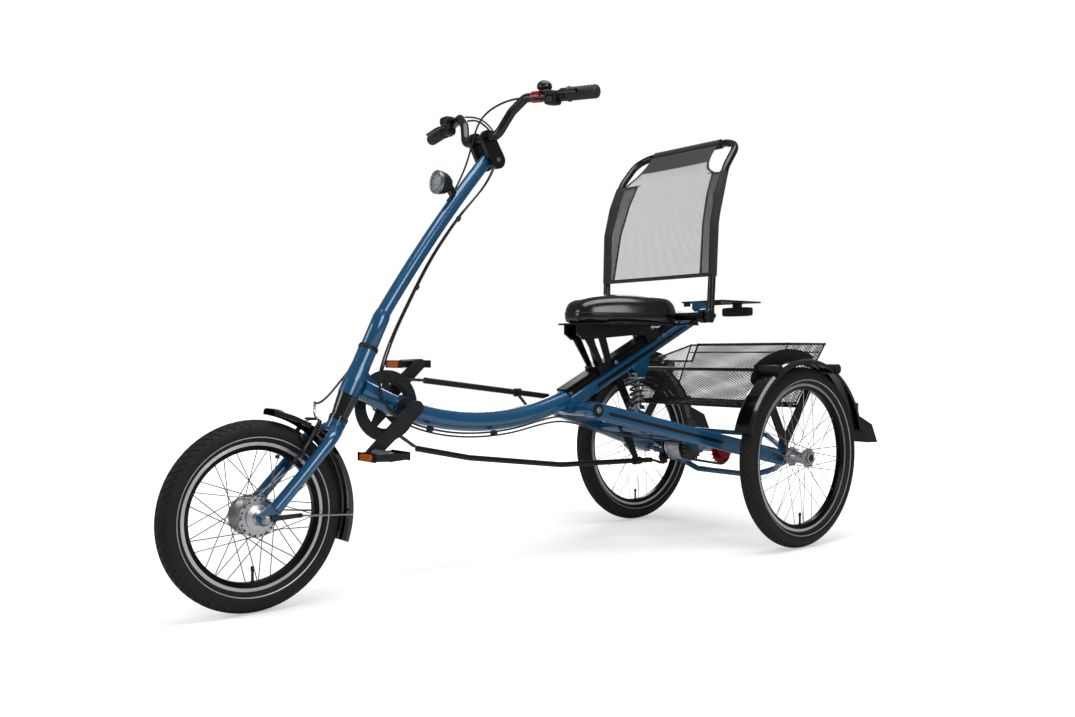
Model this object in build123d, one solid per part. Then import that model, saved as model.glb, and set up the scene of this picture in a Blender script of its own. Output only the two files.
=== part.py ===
from build123d import *
import os
from math import asin, atan2, cos, degrees, hypot, pi, radians, sin, sqrt

# Sit-up chopper tricycle with one steered front wheel, two rear wheels and a seat with a backrest.
# Millimetres. x points to the rider's left, y runs back from the front axle, z is up from the ground.

# Wheels
WHEELBASE = 1472.0
HALF_TRACK = 321.7
FRONT_TYRE_R = 202.5
REAR_TYRE_R = 253.0
TYRE_W = 50.0
FRONT_RIM_R = 158.5
REAR_RIM_R = 209.0
RIM_W = 25.0
RIM_DEPTH = 20.0
RIM_WALL = 2.6
TYRE_SEAT = 6.0
BEAD_GAP = 0.3
SPOKES = 36
SPOKE_R = 1.1
SPOKE_GAP = 0.25
SEAT_GAP = 0.3
RUNNING = 0.05

# Front hub and axle
FRONT_FLANGE_R = 42.0
FRONT_FLANGE_X = 27.0
FRONT_SHELL_R = 31.0
FRONT_DROPOUT_X = 50.0
FRONT_AXLE_R = 5.0
FLANGE_T = 3.0

# Rear hubs and stub axles
REAR_FLANGE_R = 27.0
REAR_FLANGE_X = 27.0
REAR_SHELL_R = 19.0
REAR_AXLE_R = 8.5
REAR_CAP_R = 15.0

# Steering axis, in the plane x = 0
HEAD_LOW = (226.6, 449.1)
HEAD_TOP = (276.1, 551.6)
HEAD_R_LOW = 25.0
HEAD_R_TOP = 21.5
HEADSET_H = 9.0
STEERER_R = 14.0
BOOT_H = 62.0
SLEEVE_H = 88.0
SLEEVE_R = 19.5
COLUMN_R = 16.5
COLUMN_MID = (442.0, 813.0)
COLUMN_TOP = (616.0, 1028.0)

# Fork
BLADE_R = 14.0
BLADE_TIP_R = 9.0
BLADE_X = 54.0
DROPOUT_T = 6.0

# Boom, seat beam and swing arm
BOOM_R = 24.5
BOOM_START = (257.0, 464.5)
BOOM_LOW = (591.0, 375.0)
BOOM_END = (880.0, 425.0)
BEAM_A = (866.0, 403.6)
BEAM_ANGLE = 25.5
BEAM_LENGTH = 640.0
BEAM_W = 46.0
BEAM_H = 34.0
GROOVE_H = 9.0
GROOVE_D = 2.5
INLAY_GAP = 0.3
PIVOT = (908.0, 395.5)
PIVOT_R = 18.0
PIVOT_X = 95.0
ARM_W = 28.0
ARM_H = 44.0
ARM_TOE_X = 75.0
ARM_END_X = 268.0
FOOT_Z = 246.0

# Cranks
BB = (354.0, 420.0)
CRANK = 150.0
CRANK_ANGLE = 40.5
CRANK_X = 80.0
RING_X = -50.0
RING_R = 84.6
CHAINRING_R = 72.8
PEDAL_PIN = 50.0
PEDAL_PIN_R = 7.0

HEAD_FLARE = (34.0, 76.0)
BB_SHELL_R = 24.0
BB_SHELL_X = 36.0
CRANK_AXLE_R = 8.5
WEB_W = 36.0
GROOVE_START = 120.0
GROOVE_END = 40.0
ARM_BARREL_X = 60.0
ARM_GROOVE = (42.0, 400.0)
SHOCK_Y = 1151.0
SHOCK_TOP_Z = 488.0
SHOCK_LOW_Z = 374.0
SHOCK_EAR_X = 17.0
SHOCK_EYE_R = 9.0
SPRING_SEAT = (12.0, 16.0, 24.0)
SPRING_R = 18.5
SPRING_WIRE = 3.2
SPRING_TURNS = 5
BRACE_Z = 308.0
HOOP_Y = 1540.0
HOOP_Z = 178.0

# Seat rail
RACK_H = 12.0
RACK_PITCH = 9.0
RACK_W = 30.0
TOOTH_D = 3.5
RAIL_H = 13.0
RAIL_W = 38.0
RAIL_GROOVE = 3.0
RAIL_S0 = 16.0
RAIL_S1 = 520.0
SLIDE_GAP = 0.35
CARRIAGE_S = (165.0, 372.0)

# Seat
SADDLE_Z = 626.0
SADDLE_H = 90.0
PAN_T = 5.0
LEG_X = 24.0
KNOB = (1200.0, 646.0)
KNOB_PIN_R = 8.0
CROSS_TUBE_R = 12.0
HINGE_DISC_R = 19.0
HINGE_DISC_T = 18.0
BACK_X = 205.0
BACK_TUBE_R = 10.5

# Rear bodywork
STRUT_X = 284.0
STRUT_T = 4.0
STRUT_FOOT = (1453.0, 291.0)
BUMPER_FRONT = (1335.2, 498.6)
BUMPER_REAR = (1607.6, 499.0)
BUMPER_R = 14.0
BUMPER_X = 356.0
PLATE_R = 304.0
FENDER_R = 276.0
FENDER_W = 56.0
FENDER_X = 325.0
FENDER_T = 1.8
FENDER_LIP = 14.0
FENDER_FROM = 14.0
FENDER_TO = 163.0
REFLECTOR_W = 34.0
FLAP_W = 52.0
FLAP_LOW = (1768.0, 279.0)
FLAP_TIP = (1822.0, 277.0)
LOW_BAR_FRONT = (1395.0, 392.0)
LOW_BAR_REAR = (1531.0, 392.0)
BASKET_LOW = (238.0, 1402.0, 1570.0)
BASKET_TOP = (262.0, 1500.0, 1680.0)
BASKET_Z0 = 397.3
BASKET_Z1 = 572.0
BASKET_T = 3.0
BASKET_CORNER = 18.0
BASKET_NOTCH = (-300.0, -75.0, 520.0)
RACK_Z = 701.0
RACK_Y = (1429.0, 1612.0)
RACK_T = 5.0
RACK_X = 80.0
LIGHT_Y = 1598.0
LIGHT_Z = 674.0
LIGHT_W = 108.0
LIGHT_H = 28.0
LIGHT_D = 26.0

# Chain
CHAIN_PITCH = 12.7
CHAIN_X = -54.0
CHAIN_TUBE_R = 7.5
GEAR_HUB = (1345.0, 270.0)
GEAR_TEETH_IN = 16
GEAR_TEETH_OUT = 20
GEAR_PLATE_X = 66.0
GEAR_TUBE = (1284.0, 296.0)
GEAR_TUBE_R = 9.0
AXLE_TEETH = 21
DRIVE_X = 38.0
GEAR_AXLE_R = 6.0
GEAR_SHELL = (40.0, 44.0, 34.0, 22.0)
UPPER_TUBE = [(466.0, 478.0), (760.0, 441.0), (862.0, 428.0)]
LOWER_TUBE = [(443.0, 313.0), (600.0, 280.0), (910.0, 240.0), (1265.0, 229.0)]
UPPER_CLAMP = (757.0, 441.4)
LOWER_CLAMP = (1205.0, 230.8)
IDLER = (1317.0, 236.0)

# Handlebar and controls
BAR_R = 11.1
BAR_C = (599.0, 1074.0)
BEND1_X = 66.0
GRIP_X0 = 240.0
GRIP_X1 = 337.0
GRIP_START = (663.0, 1149.0)
GRIP_END = (676.0, 1140.0)
GRIP_R = 15.5
LAMP = (456.0, 955.0)
LAMP_R = 28.0
LAMP_L = 42.0
FRONT_FENDER_R = 228.0
FRONT_FENDER_W = 58.0
FRONT_FENDER_FROM = -20.0
FRONT_FENDER_TO = 80.0

Y_MID = (FLAP_TIP[0] - FRONT_TYRE_R) / 2


def axis_dir(p, q):
    d = hypot(q[0] - p[0], q[1] - p[1])
    return ((q[0] - p[0]) / d, (q[1] - p[1]) / d)


HEAD_DIR = axis_dir(HEAD_LOW, HEAD_TOP)
HEAD_ANGLE = degrees(atan2(HEAD_DIR[1], HEAD_DIR[0]))


def on_head(s):
    """Point on the steering axis, s millimetres above the head tube's lower end."""
    return (HEAD_LOW[0] + HEAD_DIR[0] * s, HEAD_LOW[1] + HEAD_DIR[1] * s)


HEAD_H = hypot(HEAD_TOP[0] - HEAD_LOW[0], HEAD_TOP[1] - HEAD_LOW[1])


def rod(points, radius, bends=None):
    """Round bar along straight runs joined by arcs."""
    pts = [Vector(*p) for p in points]
    if len(pts) == 2:
        path = Line(pts[0], pts[1])
    else:
        path = FilletPolyline(*pts, radius=bends)
    return sweep(Plane(origin=path @ 0, z_dir=path % 0) * Circle(radius), path=path)


def disc(centre, radius, x0, x1):
    """Cylinder along x at a (y, z) centre."""
    plane = Plane(origin=(x0, centre[0], centre[1]), x_dir=(0, 1, 0), z_dir=(1, 0, 0))
    return extrude(plane * Circle(radius), x1 - x0)


def plate(points, x0, x1):
    """Flat plate from a (y, z) outline, between two x planes."""
    plane = Plane(origin=(x0, 0, 0), x_dir=(0, 1, 0), z_dir=(1, 0, 0))
    return extrude(plane * make_face(Polyline(*points, close=True)), x1 - x0)


def stadium(p, q, r0, r1, x0, x1):
    """Arm outline between two (y, z) centres with round ends of two radii."""
    d = hypot(q[0] - p[0], q[1] - p[1])
    turn = degrees(atan2(q[1] - p[1], q[0] - p[0]))
    lean = asin((r0 - r1) / d)
    pts = [(r0 * sin(lean), r0 * cos(lean)), (d + r1 * sin(lean), r1 * cos(lean)),
           (d + r1 * sin(lean), -r1 * cos(lean)), (r0 * sin(lean), -r0 * cos(lean))]
    outline = make_face(Polyline(*pts, close=True)) + Circle(r0) + Pos(d, 0) * Circle(r1)
    plane = Plane(origin=(x0, p[0], p[1]), x_dir=(0, cos(radians(turn)), sin(radians(turn))), z_dir=(1, 0, 0))
    return extrude(plane * outline, x1 - x0)


def ring_about_x(section, centre):
    """Revolve (x, r) points about the wheel axle through a (y, z) centre."""
    plane = Plane(origin=(0, centre[0], centre[1]), x_dir=(1, 0, 0), z_dir=(0, -1, 0))
    face = plane * make_face(Polyline(*section, close=True))
    return revolve(face, axis=Axis((0, centre[0], centre[1]), (1, 0, 0)))


def mirror_x(part):
    return mirror(part, about=Plane.YZ)


# Wheels are made about x = 0 and then moved out to their track.
def tyre(tyre_r, rim_r, centre):
    half = TYRE_W / 2
    seat = RIM_W / 2 - RIM_WALL - BEAD_GAP
    side = [(seat, rim_r - TYRE_SEAT + BEAD_GAP), (seat, rim_r + 1.0), (half * 0.84, rim_r + 9.0),
            (half, rim_r + 22.0), (half * 0.86, tyre_r - 9.0), (half * 0.46, tyre_r - 1.6)]
    section = side + [(0.0, tyre_r)] + [(-x, r) for x, r in reversed(side)]
    return ring_about_x(section, centre)


def rim(rim_r, centre):
    w = RIM_W / 2
    inner = w - RIM_WALL
    side = [(w, rim_r), (w, rim_r - RIM_DEPTH + 7.0), (w * 0.55, rim_r - RIM_DEPTH)]
    channel = [(-inner, rim_r), (-inner, rim_r - TYRE_SEAT), (inner, rim_r - TYRE_SEAT), (inner, rim_r)]
    section = side + [(-x, r) for x, r in reversed(side)] + channel
    return ring_about_x(section, centre)


def spokes(flange_r, flange_x, rim_r, centre):
    """Crossed spokes: pairs lean forwards and back from each flange, on its outer and inner face."""
    start_r = flange_r - 3.5
    end_r = rim_r - RIM_DEPTH - SPOKE_GAP
    turn = radians(66.0)
    length = sqrt(start_r ** 2 + end_r ** 2 - 2 * start_r * end_r * cos(turn))
    pass_r = start_r * end_r * sin(turn) / length
    to_edge = sqrt(flange_r ** 2 - pass_r ** 2) - sqrt(start_r ** 2 - pass_r ** 2)
    rise = (to_edge + SPOKE_R) * flange_x / length
    parts = []
    for i in range(SPOKES):
        side = 1 if i % 2 else -1
        lean = 1 if (i // 2) % 2 else -1
        at = radians(360.0 / SPOKES * i)
        off = FLANGE_T / 2 + SPOKE_R + SPOKE_GAP + (rise if lean > 0 else 0.0)
        a0 = at - lean * radians(62.0)
        a1 = at + lean * radians(4.0)
        p0 = Vector(side * (flange_x + lean * off), centre[0] + start_r * cos(a0), centre[1] + start_r * sin(a0))
        p1 = Vector(side * 2.5, centre[0] + end_r * cos(a1), centre[1] + end_r * sin(a1))
        bar = Plane(origin=p0, z_dir=(p1 - p0)) * RegularPolygon(SPOKE_R, 4)
        parts.append(extrude(bar, (p1 - p0).length - 0.6))
    return Compound(children=parts)


def front_hub(centre):
    w, f = FRONT_FLANGE_X, FLANGE_T / 2
    outer = [(FRONT_DROPOUT_X - 3.5, 8.0), (w + 9.0, 16.0), (w + f + 4.2, FRONT_SHELL_R - 4),
             (w + f, FRONT_SHELL_R - 4), (w + f, FRONT_FLANGE_R), (w - f, FRONT_FLANGE_R),
             (w - f, FRONT_SHELL_R)]
    bore = FRONT_AXLE_R + RUNNING
    section = outer + [(-x, r) for x, r in reversed(outer)]
    section = [(outer[0][0], bore)] + section + [(-outer[0][0], bore)]
    return ring_about_x(section, centre)


def rear_hub(centre):
    w, f = REAR_FLANGE_X, FLANGE_T / 2
    outer = [(w + 5.0, REAR_SHELL_R + 1.0), (w + f, REAR_SHELL_R + 1.0), (w + f, REAR_FLANGE_R), (w - f, REAR_FLANGE_R),
             (w - f, REAR_SHELL_R), (6.0, REAR_SHELL_R - 3.0)]
    bore = REAR_AXLE_R + RUNNING
    section = outer + [(-x, r) for x, r in reversed(outer)]
    section = [(outer[0][0], bore)] + section + [(-outer[0][0], bore)]
    return ring_about_x(section, centre)


FRONT_AXLE = (0.0, FRONT_TYRE_R)
REAR_AXLE = (WHEELBASE, REAR_TYRE_R)


# Frame
def beam_plane(s, lift, x=0.0):
    """Frame on the seat beam: s along its centre line from the front end, lift square to it."""
    a = radians(BEAM_ANGLE)
    y = BEAM_A[0] + s * cos(a) - lift * sin(a)
    z = BEAM_A[1] + s * sin(a) + lift * cos(a)
    return Plane(origin=(x, y, z), x_dir=(-1, 0, 0), z_dir=(0, cos(a), sin(a)))


def beam_point(s, lift):
    o = beam_plane(s, lift).origin
    return (o.Y, o.Z)


def along_beam(section, s0, s1, lift=0.0):
    return extrude(beam_plane(s0, lift) * section, s1 - s0)


def ring_solid(base, direction, section):
    """Revolve (r, height) points about a line in the plane x = 0."""
    plane = Plane(origin=(0, base[0], base[1]), x_dir=(1, 0, 0), z_dir=(0, -direction[1], direction[0]))
    face = plane * make_face(Polyline(*section, close=True))
    return revolve(face, axis=Axis((0, base[0], base[1]), (0, direction[0], direction[1])))


def polar(centre, radius, angle):
    """(y, z) point at an angle from +y about a centre."""
    return (centre[0] + radius * cos(radians(angle)), centre[1] + radius * sin(radians(angle)))


def main_frame():
    head = ring_solid(HEAD_LOW, HEAD_DIR, [(0, 0), (HEAD_R_LOW, 0), (HEAD_R_LOW, HEAD_FLARE[0]),
                                           (HEAD_R_TOP, HEAD_FLARE[1]), (HEAD_R_TOP, HEAD_H), (0, HEAD_H)])
    path = ThreePointArc(*[Vector(0, *p) for p in (BOOM_START, BOOM_LOW, BOOM_END)])
    boom = sweep(Plane(origin=path @ 0, z_dir=path % 0) * Circle(BOOM_R), path=path)
    shell = disc(BB, BB_SHELL_R, -BB_SHELL_X, BB_SHELL_X)
    beam = along_beam(RectangleRounded(BEAM_W, BEAM_H, 8.0), 0, BEAM_LENGTH)
    slot = Rectangle(GROOVE_D * 2, GROOVE_H)
    for side in (-1, 1):
        beam -= along_beam(Pos(side * BEAM_W / 2, 0) * slot, GROOVE_START, BEAM_LENGTH - GROOVE_END)
    web = plate([(840, 392), (866, 436), (990, 478), (975, 448), (925, 414),
                 (PIVOT[0], PIVOT[1] - 14), (870, 386)], -WEB_W / 2, WEB_W / 2)
    pivot = disc(PIVOT, PIVOT_R, -ARM_BARREL_X + 0.5, ARM_BARREL_X - 0.5)
    gusset = plate([(262, 520), (285, 486), (330, 452), (300, 440), (250, 450)], -5, 5)
    frame = head + boom + shell + beam + web + pivot + gusset
    seat = BEAM_H / 2 + BOOM_R
    frame -= along_beam(Rectangle(3 * BOOM_R, 2 * BOOM_R), RAIL_S0 - SEAT_GAP, GROOVE_START, seat)
    low = SHOCK_TOP_Z - SPRING_SEAT[0] + 1
    for side in (-1, 1):
        frame += plate([(1100, 510), (1190, 553), (1168, 486), (SHOCK_Y + 9, low), (SHOCK_Y - 9, low), (1138, 486)],
                       side * SHOCK_EAR_X - 2.5, side * SHOCK_EAR_X + 2.5)
    tab_y, tab_z = beam_point(BEAM_LENGTH - 24, 0)
    frame += plate([(tab_y - 20, tab_z), (tab_y - 20, RACK_Z - RACK_T / 2), (tab_y + 14, RACK_Z - RACK_T / 2),
                    (tab_y + 14, tab_z)], -15, 15)
    frame -= rod([(0, *on_head(-5)), (0, *on_head(HEAD_H + 5))], STEERER_R + RUNNING)
    return frame - disc(BB, CRANK_AXLE_R + RUNNING, -60, 60)


def inlays():
    strip = Rectangle(GROOVE_D - INLAY_GAP, GROOVE_H - 2 * INLAY_GAP)
    x = BEAM_W / 2 - GROOVE_D / 2
    return [along_beam(Pos(side * x, 0) * strip, GROOVE_START + INLAY_GAP, BEAM_LENGTH - GROOVE_END - INLAY_GAP)
            for side in (-1, 1)]


def bb_cups():
    cup = disc(BB, BB_SHELL_R - 2, BB_SHELL_X, BB_SHELL_X + 6)
    cup -= disc(BB, CRANK_AXLE_R + 0.5, BB_SHELL_X - 1, BB_SHELL_X + 9)
    return [cup, mirror_x(cup)]


def headset():
    return ring_solid(on_head(HEAD_H), HEAD_DIR, [(STEERER_R + RUNNING, 0), (HEAD_R_TOP + 1.5, 0), (HEAD_R_TOP + 2, 3),
                                                  (HEAD_R_TOP + 1, HEADSET_H), (STEERER_R + RUNNING, HEADSET_H)])


def arm_plane(s, x=0.0, lift=0.0):
    """Frame on the left swing arm, s along it from the pivot, x outwards and lift upwards."""
    start = Vector(ARM_TOE_X, PIVOT[0], PIVOT[1])
    end = Vector(ARM_END_X, REAR_AXLE[0], FOOT_Z)
    run = (end - start).normalized()
    out = Vector(run.Y, -run.X, 0).normalized()
    up = out.cross(run).normalized()
    up = up if up.Z > 0 else up * -1
    return Plane(origin=start + run * s + out * x + up * lift, x_dir=out, z_dir=run)


ARM_L = sqrt((ARM_END_X - ARM_TOE_X) ** 2 + (WHEELBASE - PIVOT[0]) ** 2 + (FOOT_Z - PIVOT[1]) ** 2)


def arm_at(y):
    """(x, z) of the left arm's centre line at a distance y back from the front axle."""
    t = (y - PIVOT[0]) / (WHEELBASE - PIVOT[0])
    return (ARM_TOE_X + (ARM_END_X - ARM_TOE_X) * t, PIVOT[1] + (FOOT_Z - PIVOT[1]) * t)


def swing_arm():
    beam = extrude(arm_plane(16) * RectangleRounded(ARM_W, ARM_H, 9.0), ARM_L - 16)
    groove = Rectangle(GROOVE_D * 2, GROOVE_H)
    beam -= extrude(arm_plane(ARM_GROOVE[0], ARM_W / 2) * groove, ARM_GROOVE[1] - ARM_GROOVE[0])
    barrel = disc(PIVOT, ARM_H / 2 - 1, ARM_BARREL_X, PIVOT_X)
    block = disc(REAR_AXLE, 21.0, ARM_END_X - 16, ARM_END_X + 12)
    lug = plate([(STRUT_FOOT[0] - 14, STRUT_FOOT[1] + 8), (STRUT_FOOT[0] + 14, STRUT_FOOT[1] + 8),
                 (WHEELBASE + 6, REAR_TYRE_R + 12), (WHEELBASE - 34, REAR_TYRE_R + 8)],
                STRUT_X - STRUT_T / 2 - 9, STRUT_X - STRUT_T / 2)
    gear_plate = stadium(GEAR_TUBE, GEAR_HUB, GEAR_TUBE_R + 5, 16, GEAR_PLATE_X - 3, GEAR_PLATE_X + 3)
    gear_plate -= disc(GEAR_HUB, GEAR_AXLE_R, 0, 2 * GEAR_PLATE_X)
    left = beam + barrel + block + lug + gear_plate
    cx, cz = arm_at(SHOCK_Y)
    gx = arm_at(GEAR_TUBE[0])[0]
    cross = rod([(-cx, SHOCK_Y, cz), (cx, SHOCK_Y, cz)], 14)
    gear_tube = disc(GEAR_TUBE, GEAR_TUBE_R, -gx, gx)
    brace = rod([(-ARM_END_X, WHEELBASE, REAR_TYRE_R + 16), (-ARM_END_X + 60, WHEELBASE, BRACE_Z),
                 (ARM_END_X - 60, WHEELBASE, BRACE_Z), (ARM_END_X, WHEELBASE, REAR_TYRE_R + 16)], 7.0, 30)
    hoop = rod([(-ARM_END_X + 4, WHEELBASE, REAR_TYRE_R - 8), (-190, HOOP_Y, 205), (-110, HOOP_Y, HOOP_Z),
                (110, HOOP_Y, HOOP_Z), (190, HOOP_Y, 205), (ARM_END_X - 4, WHEELBASE, REAR_TYRE_R - 8)], 9.0, 40)
    whole = left + mirror_x(left) + cross + gear_tube + brace + hoop
    for side in (-1, 1):
        whole += plate([(SHOCK_Y - 12, cz), (SHOCK_Y - 9, SHOCK_LOW_Z + 6), (SHOCK_Y + 9, SHOCK_LOW_Z + 6),
                        (SHOCK_Y + 12, cz)], side * SHOCK_EAR_X - 2.5, side * SHOCK_EAR_X + 2.5)
    cap_seat = disc(PIVOT, ARM_H / 2 - 5 + SEAT_GAP, PIVOT_X, PIVOT_X + 6)
    whole -= cap_seat + mirror_x(cap_seat)
    return whole - disc(REAR_AXLE, REAR_AXLE_R + RUNNING, -ARM_END_X - 20, ARM_END_X + 20)


def arm_inlays():
    strip = Rectangle(GROOVE_D - INLAY_GAP, GROOVE_H - 2 * INLAY_GAP)
    bar = extrude(arm_plane(ARM_GROOVE[0] + INLAY_GAP, ARM_W / 2 - GROOVE_D / 2) * strip,
                  ARM_GROOVE[1] - ARM_GROOVE[0] - 2 * INLAY_GAP)
    return [bar, mirror_x(bar)]


def pivot_caps():
    cap = disc(PIVOT, ARM_H / 2 - 5, PIVOT_X + 0.1, PIVOT_X + 3)
    return [cap, mirror_x(cap)]


def rear_axle():
    reach = HALF_TRACK + REAR_FLANGE_X + 4.0
    return disc(REAR_AXLE, REAR_AXLE_R, -reach, reach)


def shock():
    top = (SHOCK_Y, SHOCK_TOP_Z)
    low = (SHOCK_Y, SHOCK_LOW_Z)
    eye_w = SHOCK_EAR_X - 3
    inner, outer, seat_r = SPRING_SEAT
    body = disc(top, SHOCK_EYE_R, -eye_w, eye_w) + disc(low, SHOCK_EYE_R, -eye_w, eye_w)
    for z0, z1, r in ((SHOCK_LOW_Z, SHOCK_TOP_Z, 8), (SHOCK_TOP_Z - outer, SHOCK_TOP_Z - inner, seat_r),
                      (SHOCK_LOW_Z + inner, SHOCK_LOW_Z + outer, seat_r), (SHOCK_LOW_Z + outer, SHOCK_LOW_Z + 58, 13)):
        body += extrude(Plane(origin=(0, SHOCK_Y, z0), z_dir=(0, 0, 1)) * Circle(r), z1 - z0)
    return body


def shock_spring():
    """Coil of tangent arcs: each turn is a level half circle and a climbing half circle."""
    first = SHOCK_LOW_Z + SPRING_SEAT[1] + SEAT_GAP + SPRING_WIRE
    last = SHOCK_TOP_Z - SPRING_SEAT[1] - SEAT_GAP - SPRING_WIRE
    pitch = (last - first) / SPRING_TURNS
    bulge = hypot(SPRING_R, pitch / 2)
    arcs = []
    for i in range(SPRING_TURNS):
        z = first + i * pitch
        start, half, end = [Vector(x, SHOCK_Y, z + dz) for x, dz in ((SPRING_R, 0), (-SPRING_R, 0), (SPRING_R, pitch))]
        arcs.append(ThreePointArc(start, Vector(0, SHOCK_Y + SPRING_R, z), half))
        arcs.append(ThreePointArc(half, Vector(0, SHOCK_Y - bulge, z + pitch / 2), end))
    path = Wire(arcs)
    return sweep(Plane(origin=path @ 0, z_dir=path % 0) * Circle(SPRING_WIRE), path=path)


def seat_rack():
    """Toothed strip: square notches down both edges, in which the carriage's cams catch."""
    lift = BEAM_H / 2 + RACK_H / 2
    strip = along_beam(Rectangle(RACK_W, RACK_H), RAIL_S0, RAIL_S1, lift)
    notch = Rectangle(2 * TOOTH_D, RACK_H - 4)
    cuts = []
    for i in range(int((RAIL_S1 - RAIL_S0 - 20) / RACK_PITCH)):
        s = RAIL_S0 + 12 + i * RACK_PITCH
        for side in (-1, 1):
            cuts.append(along_beam(Pos(side * RACK_W / 2, -1) * notch, s, s + RACK_PITCH * 0.45, lift))
    return strip - Compound(children=cuts)


def rail_profile():
    groove = Rectangle(2 * RAIL_GROOVE, 3.5)
    section = Rectangle(RAIL_W, RAIL_H) - Pos(RAIL_W / 2, 0) * groove - Pos(-RAIL_W / 2, 0) * groove
    return along_beam(section, RAIL_S0, RAIL_S1 + 4, BEAM_H / 2 + RACK_H + RAIL_H / 2)


# Rear bodywork, made on the left and mirrored
def strut_left():
    x0, x1 = STRUT_X - STRUT_T / 2, STRUT_X + STRUT_T / 2
    legs = stadium(STRUT_FOOT, BUMPER_FRONT, 15, 15, x0, x1) + stadium(STRUT_FOOT, BUMPER_REAR, 15, 15, x0, x1)
    return legs - disc(STRUT_FOOT, 4.5, x0 - 1, x1 + 1)


def fender_plate_left():
    x0 = STRUT_X + STRUT_T / 2
    x1 = x0 + 3
    outer = [polar(REAR_AXLE, PLATE_R, a) for a in range(68, 127, 6)]
    inner = [polar(REAR_AXLE, FENDER_R - 5, a) for a in range(126, 66, -6)]
    lobe = stadium(BUMPER_FRONT, (1312, 474), 20, 16, x0, x1)
    tail = stadium(BUMPER_REAR, polar(REAR_AXLE, FENDER_R + 8, 66), 18, 12, x0, x1)
    return plate(outer + inner, x0, x1) + lobe + tail


def mudguard(centre, radius, width, x, angle0, angle1):
    """Curved guard about a wheel, with turned-down edges, between two angles from +y."""
    half = width / 2
    t = FENDER_T
    side = [(half, radius - 4), (half, radius - FENDER_LIP), (half - t, radius - FENDER_LIP),
            (half - t, radius - 4 - t * 0.6), (half * 0.70, radius - t)]
    crown = [(half * 0.72, radius)] + side
    section = [(x + a, r) for a, r in crown] + [(x - a, r) for a, r in reversed(crown)]
    axis = Axis((0, *centre), (1, 0, 0))
    face = Plane(origin=(0, *centre), x_dir=(1, 0, 0), z_dir=(0, -1, 0)) * make_face(Polyline(*section, close=True))
    return revolve(face.rotate(axis, angle0 - 90), axis=axis, revolution_arc=angle1 - angle0)


def fender_left():
    guard = mudguard(REAR_AXLE, FENDER_R, FENDER_W, FENDER_X, FENDER_FROM, FENDER_TO)
    for c in (BUMPER_FRONT, BUMPER_REAR):
        guard -= disc(c, BUMPER_R + SEAT_GAP, 0, 2 * FENDER_X)
    return guard


def flap_left():
    a, b = polar(REAR_AXLE, FENDER_R - 2, FENDER_FROM + 9), polar(REAR_AXLE, FENDER_R - 2, FENDER_FROM)
    outline = [a, b, FLAP_LOW, FLAP_TIP, (FLAP_TIP[0] - 30, FLAP_TIP[1] + 55)]
    flap = plate(outline, FENDER_X - FLAP_W / 2, FENDER_X + FLAP_W / 2)
    return flap - disc(REAR_AXLE, FENDER_R + SEAT_GAP, 0, 2 * FENDER_X)


def reflector_left():
    y, z = polar(REAR_AXLE, FENDER_R + 6, FENDER_FROM + 14)
    outline = [(y - 12, z - 14), (y + 12, z - 16), (y + 12, z + 12), (y - 12, z + 14)]
    body = plate(outline, FENDER_X - REFLECTOR_W / 2, FENDER_X + REFLECTOR_W / 2)
    return body - disc(REAR_AXLE, FENDER_R + SEAT_GAP, 0, 2 * FENDER_X)


def bumpers_left():
    inner = STRUT_X + STRUT_T / 2 + 3
    return [disc(c, BUMPER_R, inner, BUMPER_X) for c in (BUMPER_FRONT, BUMPER_REAR)]


def crossbar(c):
    reach = STRUT_X - STRUT_T / 2
    return disc(c, 5, -reach, reach)


def basket():
    """Tray that widens upwards: floor and rim rectangles joined by a loft, with a low stretch in front."""
    def wall(grow, z0, z1):
        faces = []
        for z in (z0, z1):
            t = (z - BASKET_Z0) / (BASKET_Z1 - BASKET_Z0)
            x, y0, y1 = [lo + (hi - lo) * t for lo, hi in zip(BASKET_LOW, BASKET_TOP)]
            rect = Pos(0, (y0 + y1) / 2, z) * RectangleRounded(2 * (x + grow), y1 - y0 + 2 * grow, BASKET_CORNER + grow)
            faces.append(rect)
        return loft(faces)
    body = wall(0, BASKET_Z0, BASKET_Z1)
    hollow = wall(-BASKET_T, BASKET_Z0 + BASKET_T, BASKET_Z1 + 40)
    x0, x1, z = BASKET_NOTCH
    notch = Pos((x0 + x1) / 2, BASKET_TOP[1] - 20, z + 70) * Box(x1 - x0, 80, 140)
    return body - hollow - notch


def rear_rack():
    """Slotted deck with a turned-down front lip, the lamp's tab below its rear edge."""
    width = 2 * RACK_X
    deck = Pos(0, (RACK_Y[0] + RACK_Y[1]) / 2, RACK_Z) * Box(width, RACK_Y[1] - RACK_Y[0], RACK_T)
    for y in range(int(RACK_Y[0]) + 28, int(RACK_Y[1]) - 20, 30):
        deck -= Pos(0, y, RACK_Z) * Box(width - 50, 14, 2 * RACK_T)
    lip_h = 16.0
    for side in (-1, 1):
        deck += Pos(side * (RACK_X - 20), RACK_Y[0] + 2, RACK_Z + RACK_T / 2 - lip_h / 2) * Box(24, 4, lip_h)
    tab_h = RACK_Z - RACK_T / 2 - LIGHT_Z - LIGHT_H / 2
    deck += Pos(0, LIGHT_Y, RACK_Z - RACK_T / 2 - tab_h / 2) * Box(30, 10, tab_h)
    return deck


def tail_light():
    section = RectangleRounded(LIGHT_W, LIGHT_H, LIGHT_H / 2 - 1)
    return extrude(Plane(origin=(0, LIGHT_Y + LIGHT_D / 2, LIGHT_Z), x_dir=(1, 0, 0), z_dir=(0, -1, 0)) * section, LIGHT_D)


# Drive train
def chain_tube(points):
    bends = [200] * (len(points) - 2)
    return rod([(CHAIN_X, y, z) for y, z in points], CHAIN_TUBE_R, bends)


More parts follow.
